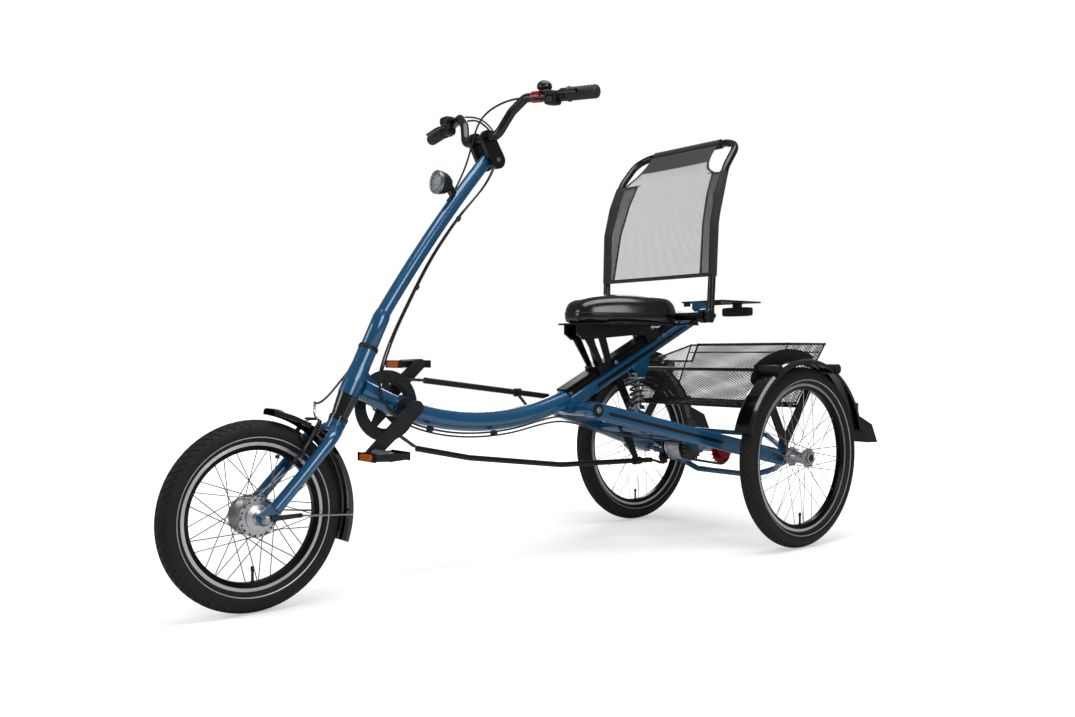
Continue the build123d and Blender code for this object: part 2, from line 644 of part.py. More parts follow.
def chain_guides():
    """What holds the tubes: a strap off the boom, and a hanger bar below the swing arm's cross tube."""
    ring_r = CHAIN_TUBE_R + 3.5
    tubes = chain_tube(UPPER_TUBE) + chain_tube(LOWER_TUBE)
    y, z = UPPER_CLAMP
    upper = rod([(CHAIN_X, y - 8, z), (CHAIN_X, y + 8, z)], ring_r) + rod([(-10, y, z - 37), (CHAIN_X, y, z - 3)], 4)
    y, z = LOWER_CLAMP
    lower = rod([(CHAIN_X, y - 14, z), (CHAIN_X, y + 14, z)], ring_r)
    lower += stadium((SHOCK_Y, arm_at(SHOCK_Y)[1]), LOWER_CLAMP, 18, 7, CHAIN_X - 3, CHAIN_X + 3)
    return [upper - tubes - main_frame(), lower - tubes - swing_arm()]


def gear_hub():
    shell_r, flange_r, x0, x1 = GEAR_SHELL
    body = disc(GEAR_HUB, shell_r, -x0, x1) + disc(GEAR_HUB, flange_r, -x0, -x0 + 6) + disc(GEAR_HUB, flange_r, x1 - 6, x1)
    return body + disc(GEAR_HUB, GEAR_AXLE_R, -GEAR_PLATE_X - 12, GEAR_PLATE_X + 12)


def sprocket(centre, teeth, x, bore, thick=2.2):
    """Toothed disc about the x axis: each tooth is five points between two roller seats."""
    pitch_r = CHAIN_PITCH / (2 * sin(pi / teeth))
    tooth = ((0.0, -3.6), (0.30, -2.6), (0.42, 3.4), (0.58, 3.4), (0.70, -2.6))
    outline = [polar(centre, pitch_r + dr, 360.0 / teeth * (i + turn)) for i in range(teeth) for turn, dr in tooth]
    return plate(outline, x - thick / 2, x + thick / 2) - disc(centre, bore, x - 9, x + 9)


def axle_sprocket():
    body = sprocket(REAR_AXLE, AXLE_TEETH, DRIVE_X, 24.0)
    hub = disc(REAR_AXLE, 26.0, DRIVE_X - 4, DRIVE_X + 16) - disc(REAR_AXLE, REAR_AXLE_R, DRIVE_X - 9, DRIVE_X + 20)
    return body + hub


def chainring():
    ring = disc(BB, CHAINRING_R - 3, RING_X - 2, RING_X + 2) - disc(BB, 54, RING_X - 3, RING_X + 3)
    guard = disc(BB, RING_R, RING_X + 2, RING_X + 5) - disc(BB, 60, RING_X + 1, RING_X + 6)
    spider = ring + guard
    for i in range(5):
        spider += stadium(BB, polar(BB, 56, 72 * i + 18), 20, 8, RING_X - 2, RING_X + 2)
    return spider - disc(BB, CRANK_AXLE_R + RUNNING, RING_X - 9, RING_X + 9)


def cranks():
    left = polar(BB, CRANK, 180 + CRANK_ANGLE)
    right = polar(BB, CRANK, CRANK_ANGLE)
    arm_l = stadium(BB, left, 17, 13, CRANK_X - 7, CRANK_X + 7)
    arm_r = stadium(BB, right, 17, 13, -CRANK_X - 7, -CRANK_X + 7)
    pins = disc(left, PEDAL_PIN_R, CRANK_X, CRANK_X + PEDAL_PIN) + disc(right, PEDAL_PIN_R, -CRANK_X - PEDAL_PIN, -CRANK_X)
    return arm_l + arm_r + disc(BB, CRANK_AXLE_R, -CRANK_X, CRANK_X) + pins


def pedal(centre, side):
    """Cage round a centre barrel, bored for the spindle that stands on the crank."""
    x0, x1 = CRANK_X + 12, CRANK_X + 90
    place = Pos(side * (x0 + x1) / 2, *centre)
    barrel = Box(x1 - x0, 26, 22)
    cage = Box(x1 - x0, 88, 18) - Box(x1 - x0 - 8, 80, 30)
    bore_end = CRANK_X + PEDAL_PIN + 1
    bore = disc(centre, PEDAL_PIN_R + RUNNING, min(side * bore_end, 0), max(side * bore_end, 0))
    return place * (barrel + cage + Box(10, 84, 8)) - bore


# Seat, on its rail
def seat_carriage():
    """Two clamps round the rail, and the folded legs that stand on them."""
    lift = BEAM_H / 2 + RACK_H + RAIL_H / 2
    wall = 6.5
    half_w = RAIL_W / 2 + SLIDE_GAP
    half_h = RAIL_H / 2 + SLIDE_GAP
    lip = RACK_W / 2 + SLIDE_GAP
    profile = [(-half_w - wall, -half_h - wall), (-lip, -half_h - wall), (-lip, -half_h), (-half_w, -half_h), (-half_w, half_h),
               (half_w, half_h), (half_w, -half_h), (lip, -half_h), (lip, -half_h - wall), (half_w + wall, -half_h - wall),
               (half_w + wall, half_h + wall), (-half_w - wall, half_h + wall)]
    pieces = [along_beam(make_face(Polyline(*profile, close=True)), s - 26, s + 26, lift) for s in CARRIAGE_S]
    front = beam_point(CARRIAGE_S[0], lift)
    top = SADDLE_Z - PAN_T
    legs = ([(front[0] - 20, front[1] + 2), (front[0] - 2, front[1] + 2), (952, 590), (924, 586)],
            [(front[0] + 6, front[1] + 8), (front[0] + 26, front[1] + 14), (1000, 596), (975, 592)],
            [(896, 596), (920, 580), (1100, 594), (1180, 600), (1180, top), (896, top)])
    for side in (-1, 1):
        pieces += [plate(leg, side * LEG_X - 2.5, side * LEG_X + 2.5) for leg in legs]
    return Part() + pieces


def seat_base():
    """Pan under the saddle, and the cross tube whose ends carry the backrest."""
    outline = [(-60, 905), (60, 905), (95, 1010), (95, 1180), (-95, 1180), (-95, 1010)]
    pan = extrude(Plane(origin=(0, 0, SADDLE_Z - PAN_T)) * make_face(Polyline(*outline, close=True)), PAN_T - SEAT_GAP)
    inner = BACK_X - HINGE_DISC_T / 2 - 1
    outer = BACK_X + HINGE_DISC_T / 2 + 1
    cross = disc(KNOB, CROSS_TUBE_R, -inner, inner) + disc(KNOB, KNOB_PIN_R, -outer, outer)
    for side in (-1, 1):
        cross += plate([(1192, SADDLE_Z - 3), (1216, SADDLE_Z - 3), (KNOB[0] + 10, KNOB[1]), (KNOB[0] - 10, KNOB[1])],
                       side * 168 - 3, side * 168 + 3)
        cross += Pos(side * 130, 1190, SADDLE_Z - PAN_T / 2 - SEAT_GAP / 2) * Box(84, 52, PAN_T - SEAT_GAP)
    return pan + cross


def saddle():
    """Wide padded seat: four outlines lofted upwards, narrow nose in front."""
    def outline(z, grow):
        w0, w1, y0, y1 = 100 + grow, 150 + grow, 902 - grow * 0.6, 1215 + grow * 0.6
        right = [(w0 * 0.55, y0), (w0, y0 + 55), (w0 * 1.1, 1030), (w1, 1100), (w1, y1 - 50), (w1 * 0.7, y1)]
        return Plane.XY.offset(z) * make_face(Polyline(*right, *[(-x, y) for x, y in reversed(right)], close=True))
    levels = ((0, -14), (16, 0), (58, -6), (SADDLE_H, -42))
    cushion = loft([outline(SADDLE_Z + z, grow) for z, grow in levels])
    tube_top = KNOB[1] + CROSS_TUBE_R + 2
    return cushion - Pos(0, KNOB[0] + 28, tube_top - 50) * Box(400, 2 * (CROSS_TUBE_R + 30), 100)


def backrest_frame():
    left = [(BACK_X, 1226, KNOB[1] + 2), (BACK_X, 1228, 690), (BACK_X + 4, 1238, 900), (BACK_X - 2, 1292, 1062),
            (BACK_X - 8, 1350, 1132), (BACK_X - 58, 1366, 1148)]
    right = [(-x, y, z) for x, y, z in reversed(left)]
    whole = rod(left + right, BACK_TUBE_R, [14, 90, 90, 50, 26, 26, 50, 90, 90, 14])
    for side in (-1, 1):
        x0, x1 = side * BACK_X - HINGE_DISC_T / 2, side * BACK_X + HINGE_DISC_T / 2
        whole += disc(KNOB, HINGE_DISC_R, x0, x1)
    return whole - disc(KNOB, KNOB_PIN_R + RUNNING, -2 * BACK_X, 2 * BACK_X)


def backrest_cloth():
    """Stretched cloth, 3 mm thick, just in front of the tubes."""
    line = [(1230, 752), (1239, 900), (1286, 1055), (1330, 1108)]
    pts = [(y - 16, z) for y, z in line] + [(y - 13, z) for y, z in reversed(line)]
    return plate(pts, -BACK_X + 8, BACK_X - 8)


def seat_knobs():
    inner = BACK_X + HINGE_DISC_T / 2 + 1
    knob = disc(KNOB, 15, inner, inner + 19)
    return [knob, mirror_x(knob)]


# Steering
def fork():
    crown_c = on_head(-BOOT_H - 14)
    crown = ring_solid(on_head(-BOOT_H - 30), HEAD_DIR, [(0, 0), (21, 0), (21, 30), (0, 30)])
    left = rod([(14, *crown_c), (BLADE_X - 2, 160, 362), (BLADE_X, 90, 286), (BLADE_X, 26, 220)], BLADE_R, [26, 120])
    left += stadium((26, 222), FRONT_AXLE, 15, 15, BLADE_X - DROPOUT_T / 2, BLADE_X + DROPOUT_T / 2)
    left -= disc(FRONT_AXLE, FRONT_AXLE_R + RUNNING, -80, 80)
    steerer = rod([(0, *on_head(-BOOT_H - 30)), (0, *on_head(-BOOT_H))], STEERER_R + 1)
    return crown + left + mirror_x(left) - steerer


def fork_boot():
    bore = STEERER_R + RUNNING
    down = (-HEAD_DIR[0], -HEAD_DIR[1])
    return ring_solid(HEAD_LOW, down, [(bore, 0.4), (24, 0.4), (19, BOOT_H - 10), (22, BOOT_H - 10), (22, BOOT_H), (bore, BOOT_H)])


def front_axle():
    axle = disc(FRONT_AXLE, FRONT_AXLE_R, -FRONT_DROPOUT_X - 14, FRONT_DROPOUT_X + 14)
    outer = BLADE_X + DROPOUT_T / 2
    return axle + disc(FRONT_AXLE, 9, outer, outer + 8) + disc(FRONT_AXLE, 9, -outer - 8, -outer)


def column():
    """Steerer through the head tube, the sleeve clamped over its top, and the long bent riser."""
    s0 = HEAD_H + HEADSET_H + 0.4
    steerer = rod([(0, *on_head(-BOOT_H - 29)), (0, *on_head(s0 + 20))], STEERER_R)
    sleeve = ring_solid(on_head(s0), HEAD_DIR, [(0, 0), (SLEEVE_R, 0), (SLEEVE_R, SLEEVE_H - 14), (COLUMN_R, SLEEVE_H), (0, SLEEVE_H)])
    path = ThreePointArc(Vector(0, *on_head(s0 + SLEEVE_H - 6)), Vector(0, *COLUMN_MID), Vector(0, *COLUMN_TOP))
    riser = sweep(Plane(origin=path @ 0, z_dir=path % 0) * Circle(COLUMN_R), path=path)
    return steerer + sleeve + riser


def stem():
    """Two side plates that clamp the column's top and the handlebar."""
    low = (COLUMN_TOP[0] + 12, COLUMN_TOP[1] - 4)
    inner, outer = COLUMN_R + 3, COLUMN_R + 15
    plates = stadium(low, BAR_C, 22, 20, inner, outer) + stadium(low, BAR_C, 22, 20, -outer, -inner)
    whole = plates + disc(low, 13, -inner, inner)
    return whole - column() - disc(BAR_C, BAR_R, -2 * outer, 2 * outer)


def handlebar():
    left = [(BEND1_X, *BAR_C), (97, 618, 1128), (134, 631, 1157), (GRIP_X0, *GRIP_START), (GRIP_X1, *GRIP_END)]
    right = [(-x, y, z) for x, y, z in reversed(left)]
    return rod(right + left, BAR_R, [60, 24, 30, 30, 30, 30, 24, 60])


def grips():
    start = Vector(GRIP_X0, *GRIP_START)
    run = Vector(GRIP_X1, *GRIP_END) - start
    along = run.normalized()
    lead = 8.0
    outer = extrude(Plane(origin=start + along * lead, z_dir=along) * Circle(GRIP_R), run.length - lead + 4)
    inner = extrude(Plane(origin=start + along * lead, z_dir=along) * Circle(BAR_R + RUNNING), run.length - lead + SEAT_GAP)
    left = outer - inner
    return [left, mirror_x(left)]


def levers():
    c = Vector(206, 652, 1152)
    d = Vector(GRIP_X1 - GRIP_X0, 13, -9).normalized()
    body = extrude(Plane(origin=c - d * 20, z_dir=d) * Circle(18), 36)
    bore = extrude(Plane(origin=c - d * 30, z_dir=d) * Circle(BAR_R), 60)
    lever = rod([(190, 640, 1140), (212, 606, 1132), (300, 612, 1118)], 6, [18])
    left = body + lever - bore - handlebar()
    return [left, mirror_x(left)]


def headlight():
    y, z = LAMP
    return rod([(0, y, z), (0, y + LAMP_L, z - 2)], LAMP_R)


def lamp_bracket():
    """Strap from the lamp's back down to the riser."""
    strap = plate([(490, 962), (500, 962), (524, 926), (512, 906), (498, 914), (508, 926), (490, 950)], -8, 8)
    return strap - headlight() - column()


def front_fender():
    return mudguard(FRONT_AXLE, FRONT_FENDER_R, FRONT_FENDER_W, 0.0, FRONT_FENDER_FROM, FRONT_FENDER_TO)


def fender_stays():
    end = polar(FRONT_AXLE, FRONT_FENDER_R - 8, -4)
    left = rod([(BLADE_X + 6, 30, 206), (FRONT_FENDER_W / 2 + 3, *end)], 2.2)
    return [left, mirror_x(left)]


def front_brake():
    """Two upright arms in front of the blades, each on a short boss."""
    boss = (86, 326)
    arm = stadium(boss, (150, 392), 8, 6, 38, 46) + rod([(42, *boss), (BLADE_X - 6, 106, 304)], 5)
    arm -= fork()
    return [arm, mirror_x(arm)]


def both(part):
    return [part, mirror_x(part)]


def nodes():
    out = {}
    out["main_frame"] = main_frame()
    out["groove_inlays"] = inlays() + arm_inlays()
    out["bearing_caps"] = bb_cups() + [headset()] + pivot_caps()
    out["swing_arm"] = swing_arm()
    out["rear_axle"] = rear_axle()
    out["shock_damper"] = shock()
    out["shock_spring"] = shock_spring()
    out["seat_rack"] = seat_rack()
    out["seat_rail"] = rail_profile()
    for name, made in (("fender_struts", strut_left), ("fender_plates", fender_plate_left), ("rear_fenders", fender_left),
                       ("mudflaps", flap_left), ("rear_reflectors", reflector_left)):
        out[name] = both(made())
    stubs = bumpers_left()
    out["bumpers"] = stubs + [mirror_x(s) for s in stubs]
    out["crossbars"] = [crossbar(c) for c in (BUMPER_FRONT, LOW_BAR_FRONT, LOW_BAR_REAR)]
    out["basket"] = basket()
    out["rear_rack"] = rear_rack()
    out["tail_light"] = tail_light()
    out["chain_tubes"] = [chain_tube(UPPER_TUBE), chain_tube(LOWER_TUBE)]
    out["chain_guides"] = chain_guides()
    out["gear_hub"] = gear_hub()
    out["gear_sprockets"] = [sprocket(GEAR_HUB, GEAR_TEETH_OUT, DRIVE_X, GEAR_AXLE_R), sprocket(GEAR_HUB, GEAR_TEETH_IN, CHAIN_X, GEAR_AXLE_R)]
    out["axle_sprocket"] = axle_sprocket()

    out["cranks"] = cranks()
    out["chainring"] = chainring()
    out["pedal_left"] = pedal(polar(BB, CRANK, 180 + CRANK_ANGLE), 1)
    out["pedal_right"] = pedal(polar(BB, CRANK, CRANK_ANGLE), -1)

    out["seat_carriage"] = seat_carriage()
    out["seat_base"] = seat_base()
    out["saddle"] = saddle()
    out["backrest_frame"] = backrest_frame()
    out["backrest_mesh"] = backrest_cloth()
    out["backrest_knobs"] = seat_knobs()

    out["fork"] = fork()
    out["fork_boot"] = fork_boot()
    out["front_axle"] = front_axle()
    out["steering_column"] = column()
    out["stem"] = stem()
    out["handlebar"] = handlebar()
    out["grips"] = grips()
    out["brake_levers"] = levers()
    out["headlight"] = headlight()
    out["lamp_bracket"] = lamp_bracket()
    out["front_fender"] = front_fender()
    out["fender_stays"] = fender_stays()
    out["front_brake"] = front_brake()

    out["front_tyre"] = tyre(FRONT_TYRE_R, FRONT_RIM_R, FRONT_AXLE)
    out["front_rim"] = rim(FRONT_RIM_R, FRONT_AXLE)
    out["front_spokes"] = spokes(FRONT_FLANGE_R, FRONT_FLANGE_X, FRONT_RIM_R, FRONT_AXLE)
    out["front_hub"] = front_hub(FRONT_AXLE)
    rear_tyre = tyre(REAR_TYRE_R, REAR_RIM_R, REAR_AXLE)
    rear_rim = rim(REAR_RIM_R, REAR_AXLE)
    rear_spokes = spokes(REAR_FLANGE_R, REAR_FLANGE_X, REAR_RIM_R, REAR_AXLE)
    hub = rear_hub(REAR_AXLE)
    cap = disc(REAR_AXLE, REAR_CAP_R, REAR_FLANGE_X + 5, REAR_FLANGE_X + 10)
    for name, side in (("left", 1), ("right", -1)):
        move = Pos(side * HALF_TRACK, 0, 0)
        out["rear_tyre_" + name] = move * rear_tyre
        out["rear_rim_" + name] = move * rear_rim
        out["rear_spokes_" + name] = move * rear_spokes
        out["rear_hub_" + name] = move * (hub + cap) if side > 0 else move * mirror_x(hub + cap)
    return out


os.makedirs("parts", exist_ok=True)
for name, made in nodes().items():
    solid = Compound(children=made) if isinstance(made, list) else made
    export_step(Pos(0, -Y_MID, 0) * solid, "parts/%s.step" % name)
    print(name)
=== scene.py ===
"""Looks of the three-wheeled chopper cycle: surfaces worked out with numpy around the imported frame."""

import math

import bmesh
import bpy
import numpy as np
from mathutils import Matrix, Vector


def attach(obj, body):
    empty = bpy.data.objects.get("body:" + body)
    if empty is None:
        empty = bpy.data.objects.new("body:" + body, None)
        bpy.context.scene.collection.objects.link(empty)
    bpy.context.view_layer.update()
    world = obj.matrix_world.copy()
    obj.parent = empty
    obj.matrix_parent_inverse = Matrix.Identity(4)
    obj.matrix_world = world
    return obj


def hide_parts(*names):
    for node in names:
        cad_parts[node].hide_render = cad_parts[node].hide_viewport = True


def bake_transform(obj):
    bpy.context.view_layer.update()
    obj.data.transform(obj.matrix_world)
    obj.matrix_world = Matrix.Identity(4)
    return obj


# Lengths in this file are written in millimetres from the front axle's foot: x to the rider's left,
# y towards the back, z up. at() turns them into the frame's metres.
Y_MID = 809.75
FRONT_AXLE = (0.0, 202.5)
REAR_AXLE = (1472.0, 253.0)
REAR_X = 321.7
CRANK_AXLE = (354.0, 420.0)
GEAR_HUB = (1345.0, 270.0)
KNOB = (1200.0, 646.0)

MM = 1000.0  # millimetres in a metre; object coordinates are metres, so a scale of MM / s repeats every s mm

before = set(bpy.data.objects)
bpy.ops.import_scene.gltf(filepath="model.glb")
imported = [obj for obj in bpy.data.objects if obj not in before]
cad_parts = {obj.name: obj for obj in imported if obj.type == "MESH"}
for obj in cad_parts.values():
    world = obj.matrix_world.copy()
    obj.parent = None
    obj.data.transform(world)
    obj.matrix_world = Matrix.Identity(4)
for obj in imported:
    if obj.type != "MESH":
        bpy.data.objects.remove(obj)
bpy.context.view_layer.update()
scene = bpy.context.scene


def at(points):
    """Millimetres from the front axle's foot to metres in the frame."""
    return (np.asarray(points, float) - (0.0, Y_MID, 0.0)) / MM


# Camera, floor and light
CAMERA_AT = (1974.18, -872.63, 543.22)
CAMERA_AZIMUTH = math.radians(50.05)
CAMERA_PITCH = math.radians(-0.28)
FOCAL_PIXELS = 988.47
IMAGE_WIDTH = 1075.0


def set_camera():
    """Looks along (-sin a cos p, cos a cos p, sin p), with the photograph's focal length."""
    data = bpy.data.cameras.new("camera")
    data.sensor_width = 36.0
    data.lens = FOCAL_PIXELS * data.sensor_width / IMAGE_WIDTH
    camera = bpy.data.objects.new("camera", data)
    scene.collection.objects.link(camera)
    a, p = CAMERA_AZIMUTH, CAMERA_PITCH
    look = Vector((-math.sin(a) * math.cos(p), math.cos(a) * math.cos(p), math.sin(p)))
    right = Vector((math.cos(a), math.sin(a), 0.0))
    up = right.cross(look)
    turn = Matrix((right, up, -look)).transposed().to_4x4()
    camera.matrix_world = Matrix.Translation(Vector(at(CAMERA_AT))) @ turn
    scene.camera = camera


def linear(code):
    """An sRGB hex colour as the linear RGBA that the shaders take."""
    parts = [int(code[i:i + 2], 16) / 255 for i in (1, 3, 5)]
    return tuple(c / 12.92 if c <= 0.04045 else ((c + 0.055) / 1.055) ** 2.4 for c in parts) + (1.0,)


def add(tree, kind, inputs=None, **settings):
    """Adds a shader node: settings are its attributes, inputs its sockets, each a number or another
    node's output."""
    made = tree.nodes.new("ShaderNode" + kind)
    for key, value in settings.items():
        setattr(made, key, value)
    for key, value in (inputs or {}).items():
        if isinstance(value, bpy.types.NodeSocket):
            tree.links.new(value, made.inputs[key])
        else:
            made.inputs[key].default_value = value
    return made


def maths(tree, operation, *values):
    """Output of a maths node on numbers or other nodes' outputs."""
    return add(tree, "Math", dict(enumerate(values)), operation=operation).outputs[0]


def shade(tree, share, dark, light):
    """Output of a mix of two sRGB colours by a share."""
    return add(tree, "Mix", {0: share, 6: linear(dark), 7: linear(light)}, data_type="RGBA").outputs[2]


def seen_directly(tree):
    """1 on the rays that the camera or a clear lens sends, else 0."""
    path = add(tree, "LightPath")
    return maths(tree, "MAXIMUM", path.outputs["Is Camera Ray"], path.outputs["Is Transmission Ray"])


def blank(name):
    """A material with an empty tree and its output node."""
    made = bpy.data.materials.new(name)
    made.use_nodes = True
    made.node_tree.nodes.clear()
    return made, made.node_tree, add(made.node_tree, "OutputMaterial")


def lamp(name, place, target, size, power):
    """A soft box at a point of the frame, turned to another, both in metres."""
    data = bpy.data.lights.new(name, "AREA")
    data.shape = "RECTANGLE"
    data.size, data.size_y = size
    data.energy = power
    box = bpy.data.objects.new(name, data)
    scene.collection.objects.link(box)
    box.location = place
    box.rotation_euler = (Vector(target) - Vector(place)).to_track_quat("-Z", "Y").to_euler()


WORLD_COLOUR, WORLD_STRENGTH = "#DDE0E3", 0.28
WHITE = (1.0, 1.0, 1.0, 1.0)
FLOOR_HALF = 7.0
FLOOR_GLOW = (0.42, 1.0)  # emission of the floor near the object and beyond the shadows
FLOOR_FADE = (0.8, 2.2)  # metres from the middle between which it rises
SOFT_BOXES = {
    "soft_box_above": ((0.6, -0.2, 3.0), (0.0, 0.0, 0.5), (2.6, 1.6), 62.0),
    "soft_box_left": ((3.4, -0.6, 1.9), (0.0, 0.0, 0.6), (1.6, 1.6), 42.0),
    "soft_box_front": ((-1.2, -3.6, 1.7), (0.0, 0.0, 0.6), (1.4, 1.6), 30.0),
    "soft_box_back": ((-2.6, 2.6, 2.2), (0.0, 0.2, 0.6), (1.6, 1.6), 34.0),
}


def set_world():
    """Grey light from all round, seen as white by the camera."""
    world = bpy.data.worlds.new("studio_air")
    scene.world = world
    world.use_nodes = True
    tree = world.node_tree
    tree.nodes.clear()
    seen = seen_directly(tree)
    lit = add(tree, "Background", {"Color": linear(WORLD_COLOUR), "Strength": WORLD_STRENGTH})
    white = add(tree, "Background", {"Color": WHITE, "Strength": 1.0})
    add(tree, "OutputWorld", {"Surface": add(tree, "MixShader",
                                             {0: seen, 1: lit.outputs[0], 2: white.outputs[0]}).outputs[0]})


def set_floor():
    """White paper that takes the shadows near the object and glows to full white further out."""
    half = FLOOR_HALF
    corners = [(-half, -half, 0.0), (half, -half, 0.0), (half, half, 0.0), (-half, half, 0.0)]
    mesh = bpy.data.meshes.new("studio_floor")
    mesh.from_pydata(corners, [], [(0, 1, 2, 3)])
    floor = bpy.data.objects.new("studio_floor", mesh)
    scene.collection.objects.link(floor)
    paper, tree, out = blank("matt_white_paper")
    seen = seen_directly(tree)
    matt = add(tree, "BsdfDiffuse", {"Color": linear("#E6E6E6")})
    place = add(tree, "TexCoord").outputs["Object"]
    far = add(tree, "VectorMath", {0: place}, operation="LENGTH").outputs[1]
    lift = add(tree, "MapRange", dict(enumerate((far, *FLOOR_FADE, *FLOOR_GLOW)))).outputs[0]
    glow = add(tree, "Emission", {"Color": WHITE, "Strength": lift})
    both = add(tree, "AddShader", {0: matt.outputs[0], 1: glow.outputs[0]})
    mixed = add(tree, "MixShader", {0: seen, 1: matt.outputs[0], 2: both.outputs[0]})
    tree.links.new(mixed.outputs[0], out.inputs["Surface"])
    mesh.materials.append(paper)


def set_studio():
    """White sweep under plain soft boxes."""
    scene.view_settings.view_transform = "Standard"
    set_world()
    set_floor()
    for name, setting in SOFT_BOXES.items():
        lamp(name, *setting)


# Finishes

def finish(name, dark, light, metallic, rough, grain=6.0, bump=0.0, bump_grain=0.6, spread=0.06, **shader):
    """A principled finish: two near colours and a roughness that vary with a noise of the grain in mm,
    and a bump in mm from a finer noise."""
    made, tree, out = blank(name)
    place = add(tree, "TexCoord").outputs["Object"]
    cloud = add(tree, "TexNoise", {"Vector": place, "Scale": MM / grain, "Detail": 4.0, "Roughness": 0.6})
    cloud = cloud.outputs[0]
    sheen = add(tree, "MapRange", {0: cloud, 1: 0.3, 2: 0.7, 3: rough - spread, 4: rough + spread})
    body = add(tree, "BsdfPrincipled", {"Base Color": shade(tree, cloud, dark, light), "Metallic": metallic,
                                        "Roughness": sheen.outputs[0], **shader})
    if bump:
        fine = add(tree, "TexNoise", {"Vector": place, "Scale": MM / bump_grain, "Detail": 3.0})
        relief = add(tree, "Bump", {"Height": fine.outputs[0], "Strength": 0.6, "Distance": bump / MM})
        tree.links.new(relief.outputs[0], body.inputs["Normal"])
    tree.links.new(body.outputs[0], out.inputs["Surface"])
    return made


WELL_EDGES = ((FRONT_AXLE, 149.0), (REAR_AXLE, 199.5))
GROOVE_TURNS = 7850.0  # radians a metre: turned grooves of the braking wall, 0.8 mm apart


def make_rim_alloy():
    """Box-section rim: bare, brake-worn aluminium wall outside, black anodised well inside. The wall is
    the band of radius beyond the well's edge, told by the distance from the wheel's axle."""
    made, tree, out = blank("anodised_rim_aluminium")
    place = add(tree, "TexCoord").outputs["Object"]
    _, y, z = add(tree, "SeparateXYZ", {0: place}).outputs
    radii = []
    for centre, edge in WELL_EDGES:
        dy = maths(tree, "SUBTRACT", y, (centre[0] - Y_MID) / MM)
        dz = maths(tree, "SUBTRACT", z, centre[1] / MM)
        both = add(tree, "CombineXYZ", {0: dy, 1: dz}).outputs[0]
        far = add(tree, "VectorMath", {0: both}, operation="LENGTH").outputs[1]
        radii.append(maths(tree, "SUBTRACT", far, edge / MM))
    front = maths(tree, "LESS_THAN", y, 0.0)
    edge = add(tree, "Mix", {0: front, 2: radii[1], 3: radii[0]}).outputs[0]
    wall = add(tree, "MapRange", {0: edge, 1: -0.0002, 2: 0.0002, 3: 0.0, 4: 1.0}).outputs[0]
    wave = maths(tree, "SINE", maths(tree, "MULTIPLY", edge, GROOVE_TURNS))
    rough = add(tree, "MapRange", {0: wave, 1: -1.0, 2: 1.0, 3: 0.24, 4: 0.36})
    relief = add(tree, "Bump", {"Height": wave, "Strength": 0.3, "Distance": 0.0001})
    colour = shade(tree, wall, "#17181A", "#C3C5C8")
    body = add(tree, "BsdfPrincipled", {"Base Color": colour, "Metallic": 0.9, "Roughness": rough.outputs[0],
                                        "Normal": relief.outputs[0]})
    tree.links.new(body.outputs[0], out.inputs["Surface"])
    return made


def make_mesh_cloth(name, dark, light, share, pitch=3.0):
    """Woven polyester net: round holes of the pitch in mm between threads, drawn 3 mm apart instead of
    the real 1.5 mm so that they show; share is the holes' radius in pitches."""
    made, tree, out = blank(name)
    place = add(tree, "TexCoord").outputs["UV"]
    scaled = add(tree, "VectorMath", {0: place, 1: (MM / pitch,) * 3}, operation="MULTIPLY")
    cell = add(tree, "VectorMath", {0: scaled.outputs[0]}, operation="FRACTION")
    middle = add(tree, "VectorMath", {0: cell.outputs[0], 1: (0.5, 0.5, 0.0)}, operation="DISTANCE")
    middle = middle.outputs[1]
    hole = add(tree, "MapRange", {0: middle, 1: share, 2: share + 0.06, 3: 0.0, 4: 1.0})
    cloud = add(tree, "TexNoise", {"Vector": place, "Scale": 40.0, "Detail": 3.0}).outputs[0]
    relief = add(tree, "Bump", {"Height": middle, "Strength": 0.5, "Distance": 0.0004})
    body = add(tree, "BsdfPrincipled", {"Base Color": shade(tree, cloud, dark, light), "Roughness": 0.72,
                                        "Sheen Weight": 0.3, "Alpha": hole.outputs[0],
                                        "Normal": relief.outputs[0]})
    tree.links.new(body.outputs[0], out.inputs["Surface"])
    return made


# Powder-coated steel tube, metallic blue under clear lacquer: deep colour with a wet gloss.
BLUE = finish("blue_powder_coated_steel", "#024A70", "#04537C", 0.25, 0.24, grain=22.0, spread=0.03,
              **{"Coat Weight": 0.9, "Coat Roughness": 0.05})
# Powder-coated steel in satin black: faint orange peel, soft highlights.
BLACK_COAT = finish("black_powder_coated_steel", "#030304", "#060607", 0.0, 0.26, grain=5.0, bump=0.03,
                    bump_grain=1.4, **{"Specular IOR Level": 0.4, "Coat Weight": 0.2, "Coat Roughness": 0.15})
# Glass-filled polyamide, moulded with a fine spark-eroded grain: dull and slightly grey.
BLACK_MOULDED = finish("moulded_black_polyamide", "#090A0A", "#101112", 0.0, 0.46, grain=8.0, bump=0.06,
                       bump_grain=0.9, **{"Specular IOR Level": 0.35})
# Polished ABS mudguard shell: nearly black with sharp long highlights.
GLOSS_ABS = finish("gloss_black_abs", "#030303", "#060606", 0.0, 0.15, grain=40.0, spread=0.04,
                   **{"Coat Weight": 0.5, "Coat Roughness": 0.04})
# Zinc-plated steel: pale, brushed, a little cloudy.
ZINC = finish("zinc_plated_steel", "#9A9C9F", "#B9BBBD", 1.0, 0.30, grain=4.0, bump=0.03, bump_grain=0.7)
# Stainless spoke wire: drawn, dulled to a warm grey.
SPOKE_STEEL = finish("drawn_stainless_spokes", "#6F6B66", "#928D86", 0.9, 0.42, grain=3.0)
# Forged aluminium, tumbled and clear anodised: even pale grey.
ALLOY = finish("satin_anodised_aluminium", "#A9ABAE", "#C6C8CA", 1.0, 0.33, grain=9.0, bump=0.04,
               bump_grain=0.8)
